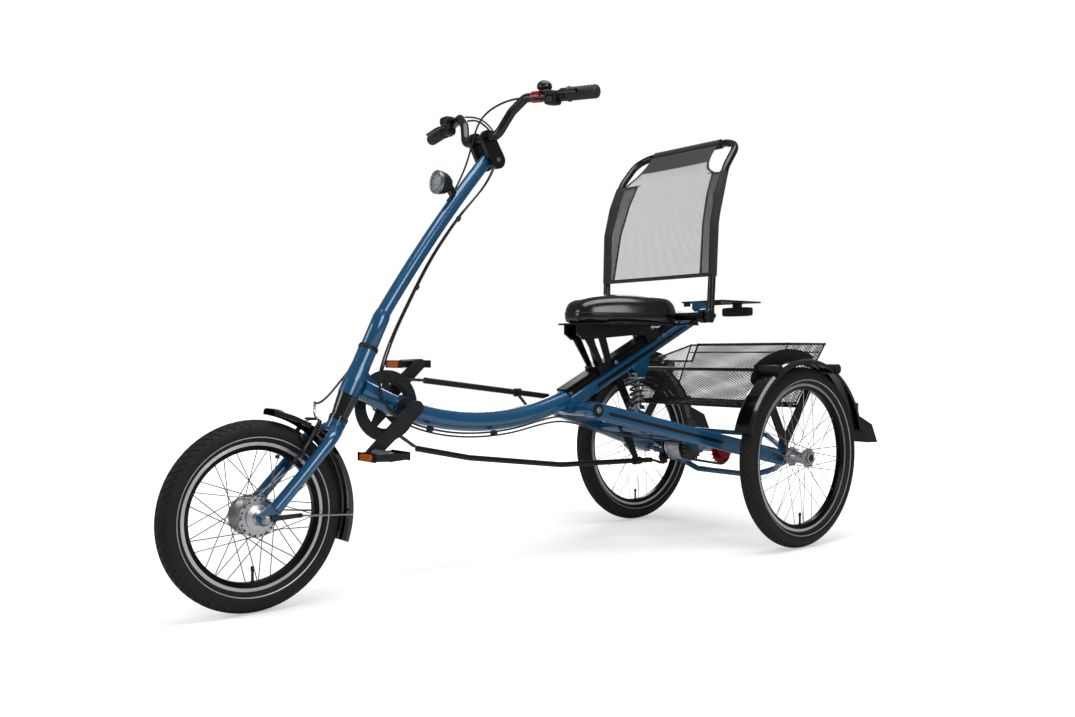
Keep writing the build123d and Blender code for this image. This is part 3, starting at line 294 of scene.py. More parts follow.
# Extruded aluminium, black anodised: dark with a metal glint.
RAIL_ALLOY = finish("black_anodised_extrusion", "#1B1C1E", "#2A2B2D", 0.9, 0.34, grain=9.0)
# Forged aluminium arm under a matte dark grey coat, scuffed by shoes.
CRANK_GREY = finish("matte_grey_coated_aluminium", "#121314", "#1C1D1F", 0.3, 0.42, grain=14.0, bump=0.05,
                    bump_grain=1.1)
# Red dyed anodised aluminium.
RED_ALLOY = finish("red_anodised_aluminium", "#7E130F", "#A01C14", 0.8, 0.30, grain=5.0)
# Oiled, nickel-plated roller chain.
CHAIN_STEEL = finish("oiled_chain_steel", "#3B3A38", "#6E6B66", 1.0, 0.36, grain=5.0)
# Polyurethane skin moulded over foam: black, glossy, leather-grained and soft at the highlights.
SADDLE_SKIN = finish("gloss_polyurethane_skin", "#010101", "#030303", 0.0, 0.20, grain=30.0, bump=0.03,
                     bump_grain=1.3, **{"Coat Weight": 0.35, "Coat Roughness": 0.10})
# Carbon-black tyre rubber with a brown bloom on the tread.
TREAD = finish("vulcanised_tread_rubber", "#090808", "#110F0E", 0.0, 0.66, grain=7.0, bump=0.10,
               bump_grain=1.2, **{"Specular IOR Level": 0.35})
# Kraton grip rubber, dusty grey-black.
GRIP = finish("kraton_grip_rubber", "#151616", "#212223", 0.0, 0.62, grain=6.0, bump=0.15, bump_grain=0.8)
# Glass-bead reflective tape.
REFLECTIVE = finish("glass_bead_reflective_band", "#8F9498", "#C9CDD0", 0.5, 0.40, grain=2.0)
# Moulded polycarbonate lenses.
RED_LENS = finish("red_polycarbonate_lens", "#7A0A08", "#A0120E", 0.0, 0.12, grain=3.0, bump=0.5,
                  bump_grain=2.4, spread=0.03)
ORANGE_LENS = finish("orange_polycarbonate_lens", "#B04A08", "#D2650F", 0.0, 0.14, grain=3.0, bump=0.5,
                     bump_grain=2.4, spread=0.03)
CLEAR_LENS = finish("clear_polycarbonate_lens", "#C9CED2", "#E6EAEC", 0.0, 0.04, grain=4.0,
                    spread=0.02, **{"Transmission Weight": 0.9, "IOR": 1.58})
# Extruded PVC cable housing.
HOUSING = finish("black_pvc_cable_housing", "#0C0C0D", "#141415", 0.0, 0.38, grain=5.0)
RIM_ALLOY = make_rim_alloy()
NET = make_mesh_cloth("light_grey_polyester_net", "#6F7173", "#8A8C8E", 0.425)
NET_BLACK = make_mesh_cloth("black_polyester_net", "#050505", "#0B0B0C", 0.31)
# Woven nylon edge tape sewn round the net.
TAPE = finish("black_nylon_edge_tape", "#050505", "#0B0B0C", 0.0, 0.74, grain=1.5, bump=0.3, bump_grain=1.1,
              **{"Sheen Weight": 0.2})

NODE_FINISH = {
    BLUE: ["main_frame", "swing_arm", "fork", "steering_column"],
    BLACK_COAT: ["groove_inlays", "stem", "handlebar", "seat_base", "seat_carriage", "backrest_frame",
                 "fender_struts", "crossbars", "rear_rack", "lamp_bracket", "front_brake", "seat_rack",
                 "shock_spring"],
    BLACK_MOULDED: ["bearing_caps", "bumpers", "mudflaps", "brake_levers", "headlight", "tail_light",
                    "chain_tubes", "chain_guides", "backrest_knobs", "fender_plates"],
    GLOSS_ABS: ["rear_fenders", "front_fender", "fork_boot"],
    ZINC: ["front_axle", "rear_axle", "fender_stays", "shock_damper"],
    SPOKE_STEEL: ["front_spokes", "rear_spokes_left", "rear_spokes_right"],
    ALLOY: ["front_hub", "rear_hub_left", "rear_hub_right", "gear_hub"],
    CRANK_GREY: ["cranks", "chainring"],
    RED_ALLOY: ["axle_sprocket"],
    RAIL_ALLOY: ["seat_rail"],
    CHAIN_STEEL: ["gear_sprockets"],
    RIM_ALLOY: ["front_rim", "rear_rim_left", "rear_rim_right"],
    RED_LENS: ["rear_reflectors"],
    GRIP: ["grips"],
}


def dress_nodes():
    """Gives every CAD node that shows its finish."""
    for material, names in NODE_FINISH.items():
        for name in names:
            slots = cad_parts[name].data.materials
            slots.clear()
            slots.append(material)


# Surfaces
def lattice(points, round_rows=False, round_columns=False):
    """Faces between neighbouring points of a grid (rows, columns, 3); either way round may close on
    itself."""
    m, n = points.shape[:2]
    i = np.arange(m if round_rows else m - 1)[:, None]
    j = np.arange(n if round_columns else n - 1)[None, :]
    below, beside = (i + 1) % m, (j + 1) % n
    faces = np.stack([i * n + j, i * n + beside, below * n + beside, below * n + j], -1)
    return points.reshape(-1, 3), faces.reshape(-1, 4)


def frames_along(path):
    """Unit tangent, side and up vectors at each point of a path, the side carried from point to point."""
    path = np.asarray(path, float)
    tangent = np.gradient(path, axis=0)
    tangent /= np.linalg.norm(tangent, axis=1)[:, None]
    side = np.cross(tangent[0], (0.0, 0.0, 1.0))
    if np.linalg.norm(side) < 1e-3:
        side = np.cross(tangent[0], (0.0, 1.0, 0.0))
    sides = []
    for t in tangent:
        side = side - t * (side @ t)
        side = side / np.linalg.norm(side)
        sides.append(side)
    sides = np.array(sides)
    return tangent, sides, np.cross(sides, tangent)


def closed_ends(rings):
    """A ring of points at each end shrunk to its middle, so that the tube is shut."""
    first, last = rings[:1].mean(1, keepdims=True), rings[-1:].mean(1, keepdims=True)
    return np.concatenate([np.repeat(first, rings.shape[1], 1), rings, np.repeat(last, rings.shape[1], 1)])


def tube(path, radius, sides=12, flat=1.0):
    """Circle of a radius, or one radius per point, carried along a path: p + r (cos t side + flat sin t
    up)."""
    path = np.asarray(path, float)
    _, side, up = frames_along(path)
    turn = np.linspace(0, 2 * np.pi, sides, endpoint=False)
    r = np.broadcast_to(np.asarray(radius, float), (len(path),))[:, None, None]
    c, s = np.cos(turn)[None, :, None], np.sin(turn)[None, :, None]
    ring = c * side[:, None, :] + flat * s * up[:, None, :]
    return lattice(closed_ends(path[:, None, :] + r * ring), round_columns=True)


def turned(profile, centre, axis=(1.0, 0.0, 0.0), sides=32, loop=False):
    """Profile of (distance along the axis, radius) turned round the axis through a centre."""
    axis = np.asarray(axis, float)
    axis = axis / np.linalg.norm(axis)
    u = np.cross(axis, (0.0, 0.0, 1.0) if abs(axis[2]) < 0.9 else (0.0, 1.0, 0.0))
    u /= np.linalg.norm(u)
    v = np.cross(axis, u)
    profile = np.asarray(profile, float)
    turn = np.linspace(0, 2 * np.pi, sides, endpoint=False)
    ring = np.cos(turn)[None, :, None] * u + np.sin(turn)[None, :, None] * v
    points = np.asarray(centre, float) + profile[:, 0, None, None] * axis + profile[:, 1, None, None] * ring
    return lattice(points, round_rows=loop, round_columns=True)


def pebble(centre, half, power=4.0, directions=None, rows=14, columns=28):
    """Rounded block: superellipsoid, each of its sines and cosines raised to 2 / power, of the half
    sizes."""
    a = np.linspace(-np.pi / 2, np.pi / 2, rows)[:, None]
    b = np.linspace(-np.pi, np.pi, columns, endpoint=False)[None, :]

    def bend(value):
        return np.sign(value) * np.abs(value) ** (2.0 / power)

    unit = np.stack([bend(np.cos(a)) * bend(np.cos(b)), bend(np.cos(a)) * bend(np.sin(b)),
                     bend(np.sin(a)) * np.ones_like(b)], -1)
    basis = np.eye(3) if directions is None else np.asarray(directions, float)
    basis = basis / np.linalg.norm(basis, axis=1)[:, None]
    return lattice(np.asarray(centre, float) + (unit * half) @ basis, round_columns=True)


def slab(outline, side, thick, bulge=0.0):
    """Outline of points given a thickness: the ring is carried from one face to the other, each face a
    fan."""
    outline = np.asarray(outline, float)
    side = np.asarray(side, float) * thick / 2
    middle = outline.mean(0)
    inner = middle + (outline - middle) * (1 - bulge)
    rim = side * (1 - 2 * bulge)
    rings = np.stack([inner - side, outline - rim, outline + rim, inner + side])
    return lattice(closed_ends(rings), round_columns=True)


def bolt(centre, axis, across=10.0, high=5.0, sides=6):
    """Bolt head on its washer: hexagon or button turned round the axis."""
    r = across / 2
    washer = turned([(0, 0), (0, r * 1.25), (1.2, r * 1.25), (1.2, 0)], centre, axis, 20)
    head = turned([(1.0, 0), (1.0, r), (high - 0.8, r), (high, r * 0.86), (high, 0)], centre, axis, sides)
    return [washer, head]


def spread(surface, places):
    """The same surface moved to each of several offsets."""
    points, faces = surface
    shifts = np.asarray(places, float)
    many = (points[None] + shifts[:, None]).reshape(-1, 3)
    steps = (np.arange(len(shifts)) * len(points))[:, None, None]
    return many, (faces[None] + steps).reshape(-1, faces.shape[1])


def mirrored(surface):
    """The surface on the rider's other side."""
    return surface[0] * (-1.0, 1.0, 1.0), surface[1]


def make(name, material, surfaces, body=None, replaces=(), angle=35.0, uv=None, open_sheet=False):
    """One piece from several surfaces: doubles merged, faces turned outwards, smooth up to an angle,
    carried by a body."""
    counts = np.cumsum([0] + [len(points) for points, _ in surfaces])
    points = at(np.concatenate([points for points, _ in surfaces]))
    faces = [row for (_, f), base in zip(surfaces, counts) for row in (f + base).tolist()]
    mesh = bpy.data.meshes.new(name)
    mesh.from_pydata(points.tolist(), [], faces)
    if uv is not None:
        layer = mesh.uv_layers.new(name="cloth")
        corner = np.zeros(len(mesh.loops), np.int32)
        mesh.loops.foreach_get("vertex_index", corner)
        layer.data.foreach_set("uv", np.asarray(uv, np.float32)[corner].ravel())
    work = bmesh.new()
    work.from_mesh(mesh)
    bmesh.ops.remove_doubles(work, verts=work.verts, dist=2e-6)
    bmesh.ops.dissolve_degenerate(work, edges=work.edges, dist=1e-7)
    if not open_sheet:
        bmesh.ops.recalc_face_normals(work, faces=work.faces)
    for face in work.faces:
        face.smooth = True
    limit = math.radians(angle)
    for edge in work.edges:
        edge.smooth = len(edge.link_faces) == 2 and edge.calc_face_angle(0.0) < limit
    work.to_mesh(mesh)
    work.free()
    mesh.materials.append(material)
    piece = bpy.data.objects.new(name, mesh)
    scene.collection.objects.link(piece)
    if body:
        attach(piece, body)
    if replaces:
        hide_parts(*replaces)
    return piece


# Wheels
WHEELS = {
    "front": (0.0, FRONT_AXLE, 202.5, 158.5, "front_wheel", "front_tyre", 70),
    "rear_left": (REAR_X, REAR_AXLE, 253.0, 209.0, "rear_wheel_left", "rear_tyre_left", 88),
    "rear_right": (-REAR_X, REAR_AXLE, 253.0, 209.0, "rear_wheel_right", "rear_tyre_right", 88),
}
TYRE_HALF = 25.0
TYRE_SEAT = 6.0  # how far the tyre reaches inside the rim's edge
TREAD_SKIN = 0.3  # the blocks stay this far inside the CAD tyre
TREAD_DEEP = 1.9
TREAD_HALF = 26.5


def tyre_section(a, tyre_r, rim_r):
    """Round section: sideways 25 sin a, outwards the mid radius plus half the height times cos a."""
    middle, high = (tyre_r + rim_r - TYRE_SEAT) / 2, (tyre_r - rim_r + TYRE_SEAT) / 2
    return TYRE_HALF * np.sin(a), middle + high * np.cos(a)


def tyre_surface(x, centre, tyre_r, rim_r, pitches):
    """Section angle a against turn t; within 26 mm of the crown, a wavy middle groove and slanting cross
    grooves, 1.9 mm deep, leave arrow-shaped blocks."""
    edge = 1.12
    a = np.concatenate([np.linspace(-edge, edge, 45), np.linspace(edge, 2 * np.pi - edge, 21)[1:-1]])[None, :]
    t = np.linspace(0, 2 * np.pi, pitches * 10, endpoint=False)[:, None]
    s = TYRE_HALF * np.where(a > np.pi, a - 2 * np.pi, a)
    u = pitches * t / (2 * np.pi) + 0.05 * np.abs(s) + 0.5 * (s > 0)
    slant = (np.abs(u % 1.0 - 0.5) > 0.41) & (np.abs(s) > 2.5)
    short = (np.abs((2 * u) % 1.0 - 0.5) > 0.40) & (np.abs(s) > 14.0) & (np.abs(s) < 20.0)
    middle = np.abs(s - 0.9 * np.sin(2 * np.pi * u)) < 0.9
    cut = TREAD_DEEP * ((slant | short | middle) & (np.abs(s) < TREAD_HALF))
    side, out = tyre_section(a, tyre_r - TREAD_SKIN, rim_r)
    out = out - cut * np.cos(a)
    side = side - cut * np.sin(a)
    points = np.stack([x + side + 0 * t, centre[0] + out * np.cos(t), centre[1] + out * np.sin(t)], -1)
    return lattice(points, round_rows=True, round_columns=True)


def side_band(x, centre, tyre_r, rim_r, side, low, high):
    """Reflective band: the tyre's section between two angles, 0.3 mm proud and 0.6 mm sunk, turned round
    the axle."""
    a = np.linspace(low, high, 5)
    sx, sr = tyre_section(a, tyre_r - TREAD_SKIN, rim_r)
    middle = (tyre_r + rim_r - TYRE_SEAT) / 2
    out = np.stack([sx, sr - middle], -1)
    unit = out / np.linalg.norm(out, axis=1)[:, None]
    ring = np.concatenate([out + 0.3 * unit, (out - 0.6 * unit)[::-1]])
    profile = np.stack([side * ring[:, 0], ring[:, 1] + middle], -1)
    return turned(profile, (x, *centre), sides=180, loop=True)


VALVE = [(0, 0), (0, 4.4), (3, 4.0), (5, 3.0), (24, 3.0), (24, 3.9), (33, 3.9), (34, 3.0), (34, 0)]
VALVE_SEAT = 19.0


def make_wheels():
    """Tyre with its tread, a reflective band on each wall and the valve, for each wheel."""
    for name, (x, centre, tyre_r, rim_r, body, node, pitches) in WHEELS.items():
        tyre = tyre_surface(x, centre, tyre_r, rim_r, pitches)
        make(name + "_tyre_rubber", TREAD, [tyre], body, [node], angle=50)
        for label, side in (("left", 1), ("right", -1)):
            band = side_band(x, centre, tyre_r, rim_r, side, 1.97, 2.06)
            make(f"{name}_band_{label}", REFLECTIVE, [band], body)
        well = (x, centre[0], centre[1] - (rim_r - VALVE_SEAT))
        stem = turned(VALVE, well, (0, 0, 1), 14)
        make(name + "_valve", BLACK_MOULDED, [stem], body)


# Drive
PITCH = 12.7
FRONT_CHAIN_X, REAR_CHAIN_X, AXLE_CHAIN_X = -50.0, -54.0, 38.0
RING_PITCH_R, HUB_PITCH_R = 66.5, 41.0  # where the links lie round the chainring and the hub's sprocket
AXLE_PITCH_R, INNER_PITCH_R = 42.6, 37.0
IDLER = (1318.0, 236.0)
GUARD_X, GUARD_R = -62.0, 42.0


def link_shape(outer):
    """One link: two waisted plates either side of a roller, along x of its own frame, 12.7 mm between
    pins."""
    turn = np.linspace(0, 2 * np.pi, 10, endpoint=False)
    along = PITCH / 2 * np.sign(np.cos(turn)) + 4.1 * np.cos(turn)
    high = 4.1 * np.sin(turn) * (0.82 + 0.18 * np.abs(np.cos(turn)))
    off = 3.9 if outer else 2.6
    parts = []
    for side in (-1, 1):
        outline = np.stack([along, high, np.full_like(turn, side * off)], -1)
        parts.append(slab(outline, (0, 0, 1), 1.0))
    parts.append(turned([(-4.6, 0), (-4.6, 2.0), (4.6, 2.0), (4.6, 0)], (-PITCH / 2, 0, 0), (0, 0, 1), 6))
    parts.append(turned([(-2.2, 0), (-2.2, 3.9), (2.2, 3.9), (2.2, 0)], (PITCH / 2, 0, 0), (0, 0, 1), 8))
    return parts


def chain_run(line, x):
    """Links laid end to end along a line of (y, z) points: each is turned to its own stretch of the
    line."""
    line = np.asarray(line, float)
    steps = np.concatenate([[0], np.cumsum(np.linalg.norm(np.diff(line, axis=0), axis=1))])
    count = int(steps[-1] // PITCH)
    stations = np.arange(count + 1) * PITCH
    pins = np.stack([np.interp(stations, steps, line[:, 0]), np.interp(stations, steps, line[:, 1])], -1)
    start, end = pins[:-1], pins[1:]
    along = (end - start) / np.linalg.norm(end - start, axis=1)[:, None]
    middle = (start + end) / 2
    found = []
    for kind in (0, 1):
        a, m = along[kind::2], middle[kind::2]
        for points, faces in link_shape(kind == 0):
            y = m[:, None, 0] + points[None, :, 0] * a[:, None, 0] - points[None, :, 1] * a[:, None, 1]
            z = m[:, None, 1] + points[None, :, 0] * a[:, None, 1] + points[None, :, 1] * a[:, None, 0]
            many = np.stack([x + 0 * y + points[None, :, 2], y, z], -1).reshape(-1, 3)
            shift = (np.arange(len(a)) * len(points))[:, None, None]
            found.append((many, (faces[None] + shift).reshape(-1, faces.shape[1])))
    return found


def arc(centre, radius, first, last, count=24):
    """Points of (y, z) round a centre, angles in degrees from +y."""
    t = np.radians(np.linspace(first, last, count))
    return [(centre[0] + radius * math.cos(v), centre[1] + radius * math.sin(v)) for v in t]


def make_chains():
    """Front chain round the chainring into its tubes, its other end round the hub, and the axle's short
    loop."""
    upper = arc(CRANK_AXLE, RING_PITCH_R, 250, 76, 40) + [(466, 478)]
    lower = arc(CRANK_AXLE, RING_PITCH_R, 250, 290, 8) + [(443, 313)]
    top = [(868, 427), (1010, 388), (1180, 341)] + arc(GEAR_HUB, HUB_PITCH_R, 102, -20, 16)
    low = [(1268, 228.8), (1292, 223), (1305, 218), (1319, 217), (1333, 222)]
    low += arc(GEAR_HUB, HUB_PITCH_R, -110, -20, 12)
    loop = (arc(REAR_AXLE, AXLE_PITCH_R, 100, -100, 24) + arc(GEAR_HUB, INNER_PITCH_R, -104, -256, 16)
            + arc(REAR_AXLE, AXLE_PITCH_R, 100, 98, 2))
    for name, x, lines in (("front", FRONT_CHAIN_X, (upper, lower)), ("rear", REAR_CHAIN_X, (top, low)),
                           ("axle", AXLE_CHAIN_X, (loop,))):
        links = [part for line in lines for part in chain_run(line, x)]
        make("chain_" + name, CHAIN_STEEL, links, "frame")


def make_idler():
    """Jockey roller under the hub on its hanger bar, and the thin bright guard beside the hub."""
    centre = (REAR_CHAIN_X, *IDLER)
    wheel = turned([(-5, 4), (-5, 15), (-2, 17.5), (2, 17.5), (5, 15), (5, 4)], centre, loop=True, sides=36)
    pin = turned([(-10, 0), (-10, 7), (12, 7), (12, 0)], centre, sides=16)
    arm = slab([(-46, 1312, 230), (-46, 1324, 230), (-46, 1312, 300), (-46, 1298, 300)], (1, 0, 0), 4)
    make("idler_roller", BLACK_MOULDED, [wheel, pin], "frame")
    make("idler_arm", BLACK_COAT, [arm], "frame")
    make("hub_guard", ALLOY, [guard_strip(np.radians(np.linspace(80, -45, 20)))], "frame")


def guard_strip(t):
    """Crescent: a flat bar section carried round the hub, widest in the middle."""
    wide = 5.0 * np.sin(np.linspace(0.15, np.pi - 0.15, len(t)))
    ring = np.array([(-1.2, -1), (1.2, -1), (1.2, 1), (-1.2, 1)])
    r = GUARD_R + wide[:, None] * ring[None, :, 1]
    y, z = GEAR_HUB
    c, s = np.cos(t)[:, None], np.sin(t)[:, None]
    points = np.stack([GUARD_X + 0 * r + ring[None, :, 0], y + r * c, z + r * s], -1)
    return lattice(closed_ends(points), round_columns=True)


CRANK = 150.0
PEDAL_X = (93.0, 169.0)
PEDAL_HALF = 42.0


def make_pedals():
    """Toothed cage of two long and two end plates, the barrel with its spine, a reflector on each long
    plate."""
    x0, x1 = PEDAL_X
    middle, far = (x0 + x1) / 2, PEDAL_HALF
    for side, angle, name in ((1, 220.5, "pedal_left"), (-1, 40.5, "pedal_right")):
        y = CRANK_AXLE[0] + CRANK * math.cos(math.radians(angle))
        z = CRANK_AXLE[1] + CRANK * math.sin(math.radians(angle))
        profile = [(x0, 8.2), (x0, 12), (x0 + 3, 13), (x1 - 20, 11), (x1 - 6, 11), (x1 - 2, 9), (x1, 0),
                   (x1 - 30, 0), (x1 - 31, 8.2)]
        barrel = turned(profile, (0, y, z), sides=24)
        cage, spine, lens = [], [], []
        teeth = np.linspace(x0, x1, 25)
        top = 8.0 + 1.6 * (np.arange(25) % 2)
        for way in (-1, 1):
            upper = np.stack([teeth, np.full(25, y + way * far), z + top], -1)
            lower = np.stack([teeth, np.full(25, y + way * far), z - top], -1)
            cage.append(slab(np.concatenate([upper, lower[::-1]]), (0, 1, 0), 2.0))
            web = [(middle - 13, y + way * 12, z - 4), (middle + 13, y + way * 12, z - 4),
                   (middle + 9, y + way * 41, z - 3), (middle - 9, y + way * 41, z - 3)]
            spine.append(slab(web, (0, 0, 1), 5))
            lens.append(pebble((middle, y + way * 44.4, z), (24, 2.6, 6.6), 8.0))
        for x in (x0 + 1, x1 - 1):
            ends = [(x, y - far, z - 7), (x, y - far, z + 7), (x, y, z + 9), (x, y + far, z + 7),
                    (x, y + far, z - 7), (x, y, z - 9)]
            cage.append(slab(ends, (1, 0, 0), 2.0))
        flip = (lambda surface: surface) if side > 0 else mirrored
        for part, material, surfaces, slot, replaced in (
                ("_cage", BLACK_COAT, cage, "aluminium", [name]),
                ("_barrel", ALLOY, [barrel] + spine, "black_plastic", ()),
                ("_reflectors", ORANGE_LENS, lens, None, ())):
            make(name + part, material, [flip(s) for s in surfaces], name + "_body", replaced)


# Seat
SADDLE_LOW, SADDLE_TOP = 626.0, 716.0
SADDLE_CENTRE, SADDLE_FRONT, SADDLE_BACK = 1075.0, 176.0, 146.0
SADDLE_SHRINK = 1078.0  # the point in y that the levels shrink to
PIPING_IN, PIPING_Z = 0.999, 652.0
SADDLE_EDGE = [  # (share of the outline, share of the height), from the underside's middle to the crown's
    (0.0, 0.0), (0.55, 0.0), (0.88, 0.0), (0.945, 0.02), (0.98, 0.07), (0.995, 0.15), (1.0, 0.28),
    (0.993, 0.42), (0.975, 0.56), (0.945, 0.68), (0.90, 0.775), (0.84, 0.845), (0.76, 0.90),
    (0.67, 0.935), (0.56, 0.96), (0.44, 0.975), (0.32, 0.987), (0.2, 0.995), (0.1, 0.999), (0.0, 1.0)]


def saddle_outline(t):
    """Plan of the saddle: half width against turn t, narrow rounded nose in front, broad back."""
    c, s = np.cos(t), np.sin(t)
    y = SADDLE_CENTRE + np.where(c < 0, SADDLE_FRONT, SADDLE_BACK) * np.sign(c) * np.abs(c) ** 0.86
    share = np.clip((y - (SADDLE_CENTRE - SADDLE_FRONT)) / (SADDLE_FRONT + SADDLE_BACK), 0, 1)
    half = 78.0 + 76.0 * (3 * share ** 2 - 2 * share ** 3)
    return half * np.sign(s) * np.abs(s) ** 0.72, y


def make_saddle():
    """Foam shell: the outline shrunk and lifted by a rounded edge profile, its top crowned, dished down
    the middle by exp(-(x / 34)^2) and raised at the back. Piping runs round its widest line, a pan lies
    under it."""
    t = np.linspace(0, 2 * np.pi, 144, endpoint=False)[None, :]
    x, y = saddle_outline(t)
    share, rise = np.array(SADDLE_EDGE).T[:, :, None]
    px, py = x * share, SADDLE_SHRINK + (y - SADDLE_SHRINK) * share
    along = np.clip((py - (SADDLE_CENTRE - SADDLE_FRONT)) / (SADDLE_FRONT + SADDLE_BACK), 0, 1)
    crown = 0.80 + 0.13 * along + 0.07 * np.sin(np.pi * np.clip(along * 1.6, 0, 1))
    across = np.abs(px) / 150.0
    dish = 7.0 * np.exp(-(px / 34.0) ** 2) * np.clip((along - 0.25) * 3, 0, 1)
    dish = dish + 5.0 * np.clip(across - 0.55, 0, 1) * 2
    z = SADDLE_LOW + (SADDLE_TOP - SADDLE_LOW) * rise * crown - dish * np.clip((rise - 0.9) * 10, 0, 1)
    points = np.stack([px, py, z], -1)
    piece = make("saddle_skin", SADDLE_SKIN, [lattice(points, round_columns=True)], "seat",
                 ["saddle"], angle=80)
    smooth = piece.modifiers.new("smooth", "SUBSURF")
    smooth.levels = smooth.render_levels = 1
    sx, sy = saddle_outline(np.linspace(0, 2 * np.pi, 160, endpoint=False))
    line = np.stack([sx * PIPING_IN, SADDLE_SHRINK + (sy - SADDLE_SHRINK) * PIPING_IN, 0 * sx + PIPING_Z], -1)
    make("saddle_piping", BLACK_MOULDED, [tube(np.concatenate([line, line[:1]]), 1.5, 8)], "seat")
    pan = pebble((0, SADDLE_SHRINK, SADDLE_LOW - 1.0), (128, 118, 5.0), 5.0)
    make("saddle_pan", BLACK_MOULDED, [pan], "seat")


# Backrest: side posts through these points, the net between them
POST = np.array([(205, 1228, 690), (207, 1232, 760), (209, 1238, 900), (206, 1258, 985), (203, 1292, 1062),
                 (197, 1338, 1118), (186, 1357, 1138)], float)
TOP_BAR = (1366.0, 1148.0)
NET_LOW, NET_HIGH = 757.0, 1140.0
SLEEVE_TOP = 1046.0  # the cloth's corners are cut out above this height
LEAN_FROM = 1062.0  # and its upper end leans back to the top bar above this one
NET_THICK = 0.0009


def post_at(z):
    """Half width and depth of the side posts at a height."""
    return np.interp(z, POST[:, 2], POST[:, 0]), np.interp(z, POST[:, 2], POST[:, 1])


def cloth_line(z):
    """Half width of the cloth and its depth at a height: in front of the posts, then drawn in by a
    quarter-round cut-out at each corner to the stretch that wraps the top tube."""
    half, depth = post_at(z)
    rise = np.clip((z - SLEEVE_TOP) / 82.0, 0, 1)
    half = np.where(z > SLEEVE_TOP, 203.0 - 74.0 * np.sqrt(1 - (1 - rise) ** 2), half)
    lean = (TOP_BAR[0] + 2.0 - 1292.0) * (z - LEAN_FROM) / (TOP_BAR[1] - LEAN_FROM)
    return half, np.where(z > LEAN_FROM, 1292.0 + lean, depth) - 13.5


def net_surface(z0, z1, x0, x1, lift=0.0, rows=44, columns=40):
    """Net from post to post, hung back by a shallow curve of 14 mm, z from z0 to z1; x0 and x1 are shares
    of the half width, each one number or a pair for its low and high ends."""
    z = np.linspace(z0, z1, rows)[:, None]
    x0, x1 = [np.interp(z, (z0, z1), np.broadcast_to(x, 2)) for x in (x0, x1)]
    share = x0 + (x1 - x0) * np.linspace(0, 1, columns)[None, :]
    half, depth = cloth_line(z)
    y = depth + 14.0 * (1 - share ** 2) * np.sin(np.pi * np.clip((z - 740) / 400, 0, 1)) - lift
    points = np.stack([half * share, y, z + 0 * share], -1)
    return points, points[..., [0, 2]].reshape(-1, 2) / MM


def thin_band(z0, z1, x0, x1, lift=0.9, rows=44, thick=1.8):
    """A strip of the same surface in front of the net, with its back 1.8 mm behind and its rim closed."""
    points, _ = net_surface(z0, z1, x0, x1, lift, rows, 24)
    ring = np.concatenate([points, (points + (0, thick, 0))[:, ::-1]], 1)
    return lattice(closed_ends(ring), round_columns=True)


def make_net(name, material, place, replaced=(), lift=0.0, offset=-1.0):
    """A sheet of net over (z0, z1, x0, x1), thickened and declared with its flat size in metres."""
    points, uv = net_surface(*place, lift=lift)
    net = make(name, material, [lattice(points)], "backrest", replaced, uv=uv, open_sheet=True,
               angle=80)
    thick = net.modifiers.new("thick", "SOLIDIFY")
    thick.thickness = NET_THICK
    thick.offset = offset


def make_backrest():
    """Light net sewn between black side nets, tape along every edge, sleeves on the posts, a padded roll
    over the top tube."""
    low, high, top = NET_LOW, NET_HIGH, SLEEVE_TOP
    make_net("backrest_net", NET, (low, high, -0.97, 0.97), ["backrest_mesh"],
             offset=0.0)
    make_net("side_net_left", NET_BLACK, (low, top, (0.84, 0.84), 0.99), lift=1.2)
    make_net("side_net_right", NET_BLACK, (low, top, -0.99, (-0.80, -0.60)), lift=1.2)
    tapes = [thin_band(low - 3, low + 8, -0.99, 0.99, rows=6), thin_band(low, top, 0.83, 0.86),
             thin_band(low, top, (-0.82, -0.62), (-0.79, -0.59)), thin_band(1040, 1050, -0.99, -0.60, rows=6),
             thin_band(1040, 1050, 0.83, 0.99, rows=6), thin_band(top, high, 0.93, 0.99),
             thin_band(top, high, -0.99, -0.93), thin_band(1088, high, -0.99, 0.99, lift=1.6, rows=16)]
    make("backrest_tapes", TAPE, tapes, "backrest", angle=60)
    z = np.linspace(low, top, 60)
    half, depth = post_at(z)
    for side, label in ((-1, "right"), (1, "left")):
        path = np.stack([side * half, depth, z], -1)
        make("backrest_sleeve_" + label, TAPE, [tube(path, 12.3, 20)], "backrest")
    x = np.linspace(-128, 128, 40)
    roll = tube(np.stack([x, 0 * x + TOP_BAR[0], 0 * x + TOP_BAR[1]], -1), 13.6, 24)
    make("backrest_roll", TAPE, [roll], "backrest")


def lobed(centre, way, high, radius):
    """Knob of radius r (1 + 0.13 cos 5t), its faces drawn in at both ends."""
    t = np.linspace(0, 2 * np.pi, 60, endpoint=False)
    r = radius * (1 + 0.13 * np.cos(5 * t))
    levels = ((0, 0.55), (3, 0.92), (6, 1.0), (high - 3, 1.0), (high - 0.6, 0.92), (high, 0.8))
    rings = [np.stack([0 * t + centre[0] + way * off, centre[1] + share * r * np.cos(t),
                       centre[2] + share * r * np.sin(t)], -1) for off, share in levels]
    return lattice(closed_ends(np.array(rings)), round_columns=True)


def make_knobs():
    """Five-lobed hand knobs on the backrest's hinge discs."""
    parts = [lobed((side * 215.5, *KNOB), side, 17.0, 17.5) for side in (-1, 1)]
    make("hinge_knobs", BLACK_MOULDED, parts, "seat", ["backrest_knobs"])


# Basket
BASKET_LOW = (238.0, 1402.0, 1570.0, 398.5)
BASKET_TOP = (262.0, 1500.0, 1680.0, 572.0)
NOTCH_X, NOTCH_RISE = -75.0, 0.70  # the front wall is lower from here to the rider's right
SECOND_WIRE = 0.86
STRAND_PITCH, STRAND_HALF = 13.0, 0.6


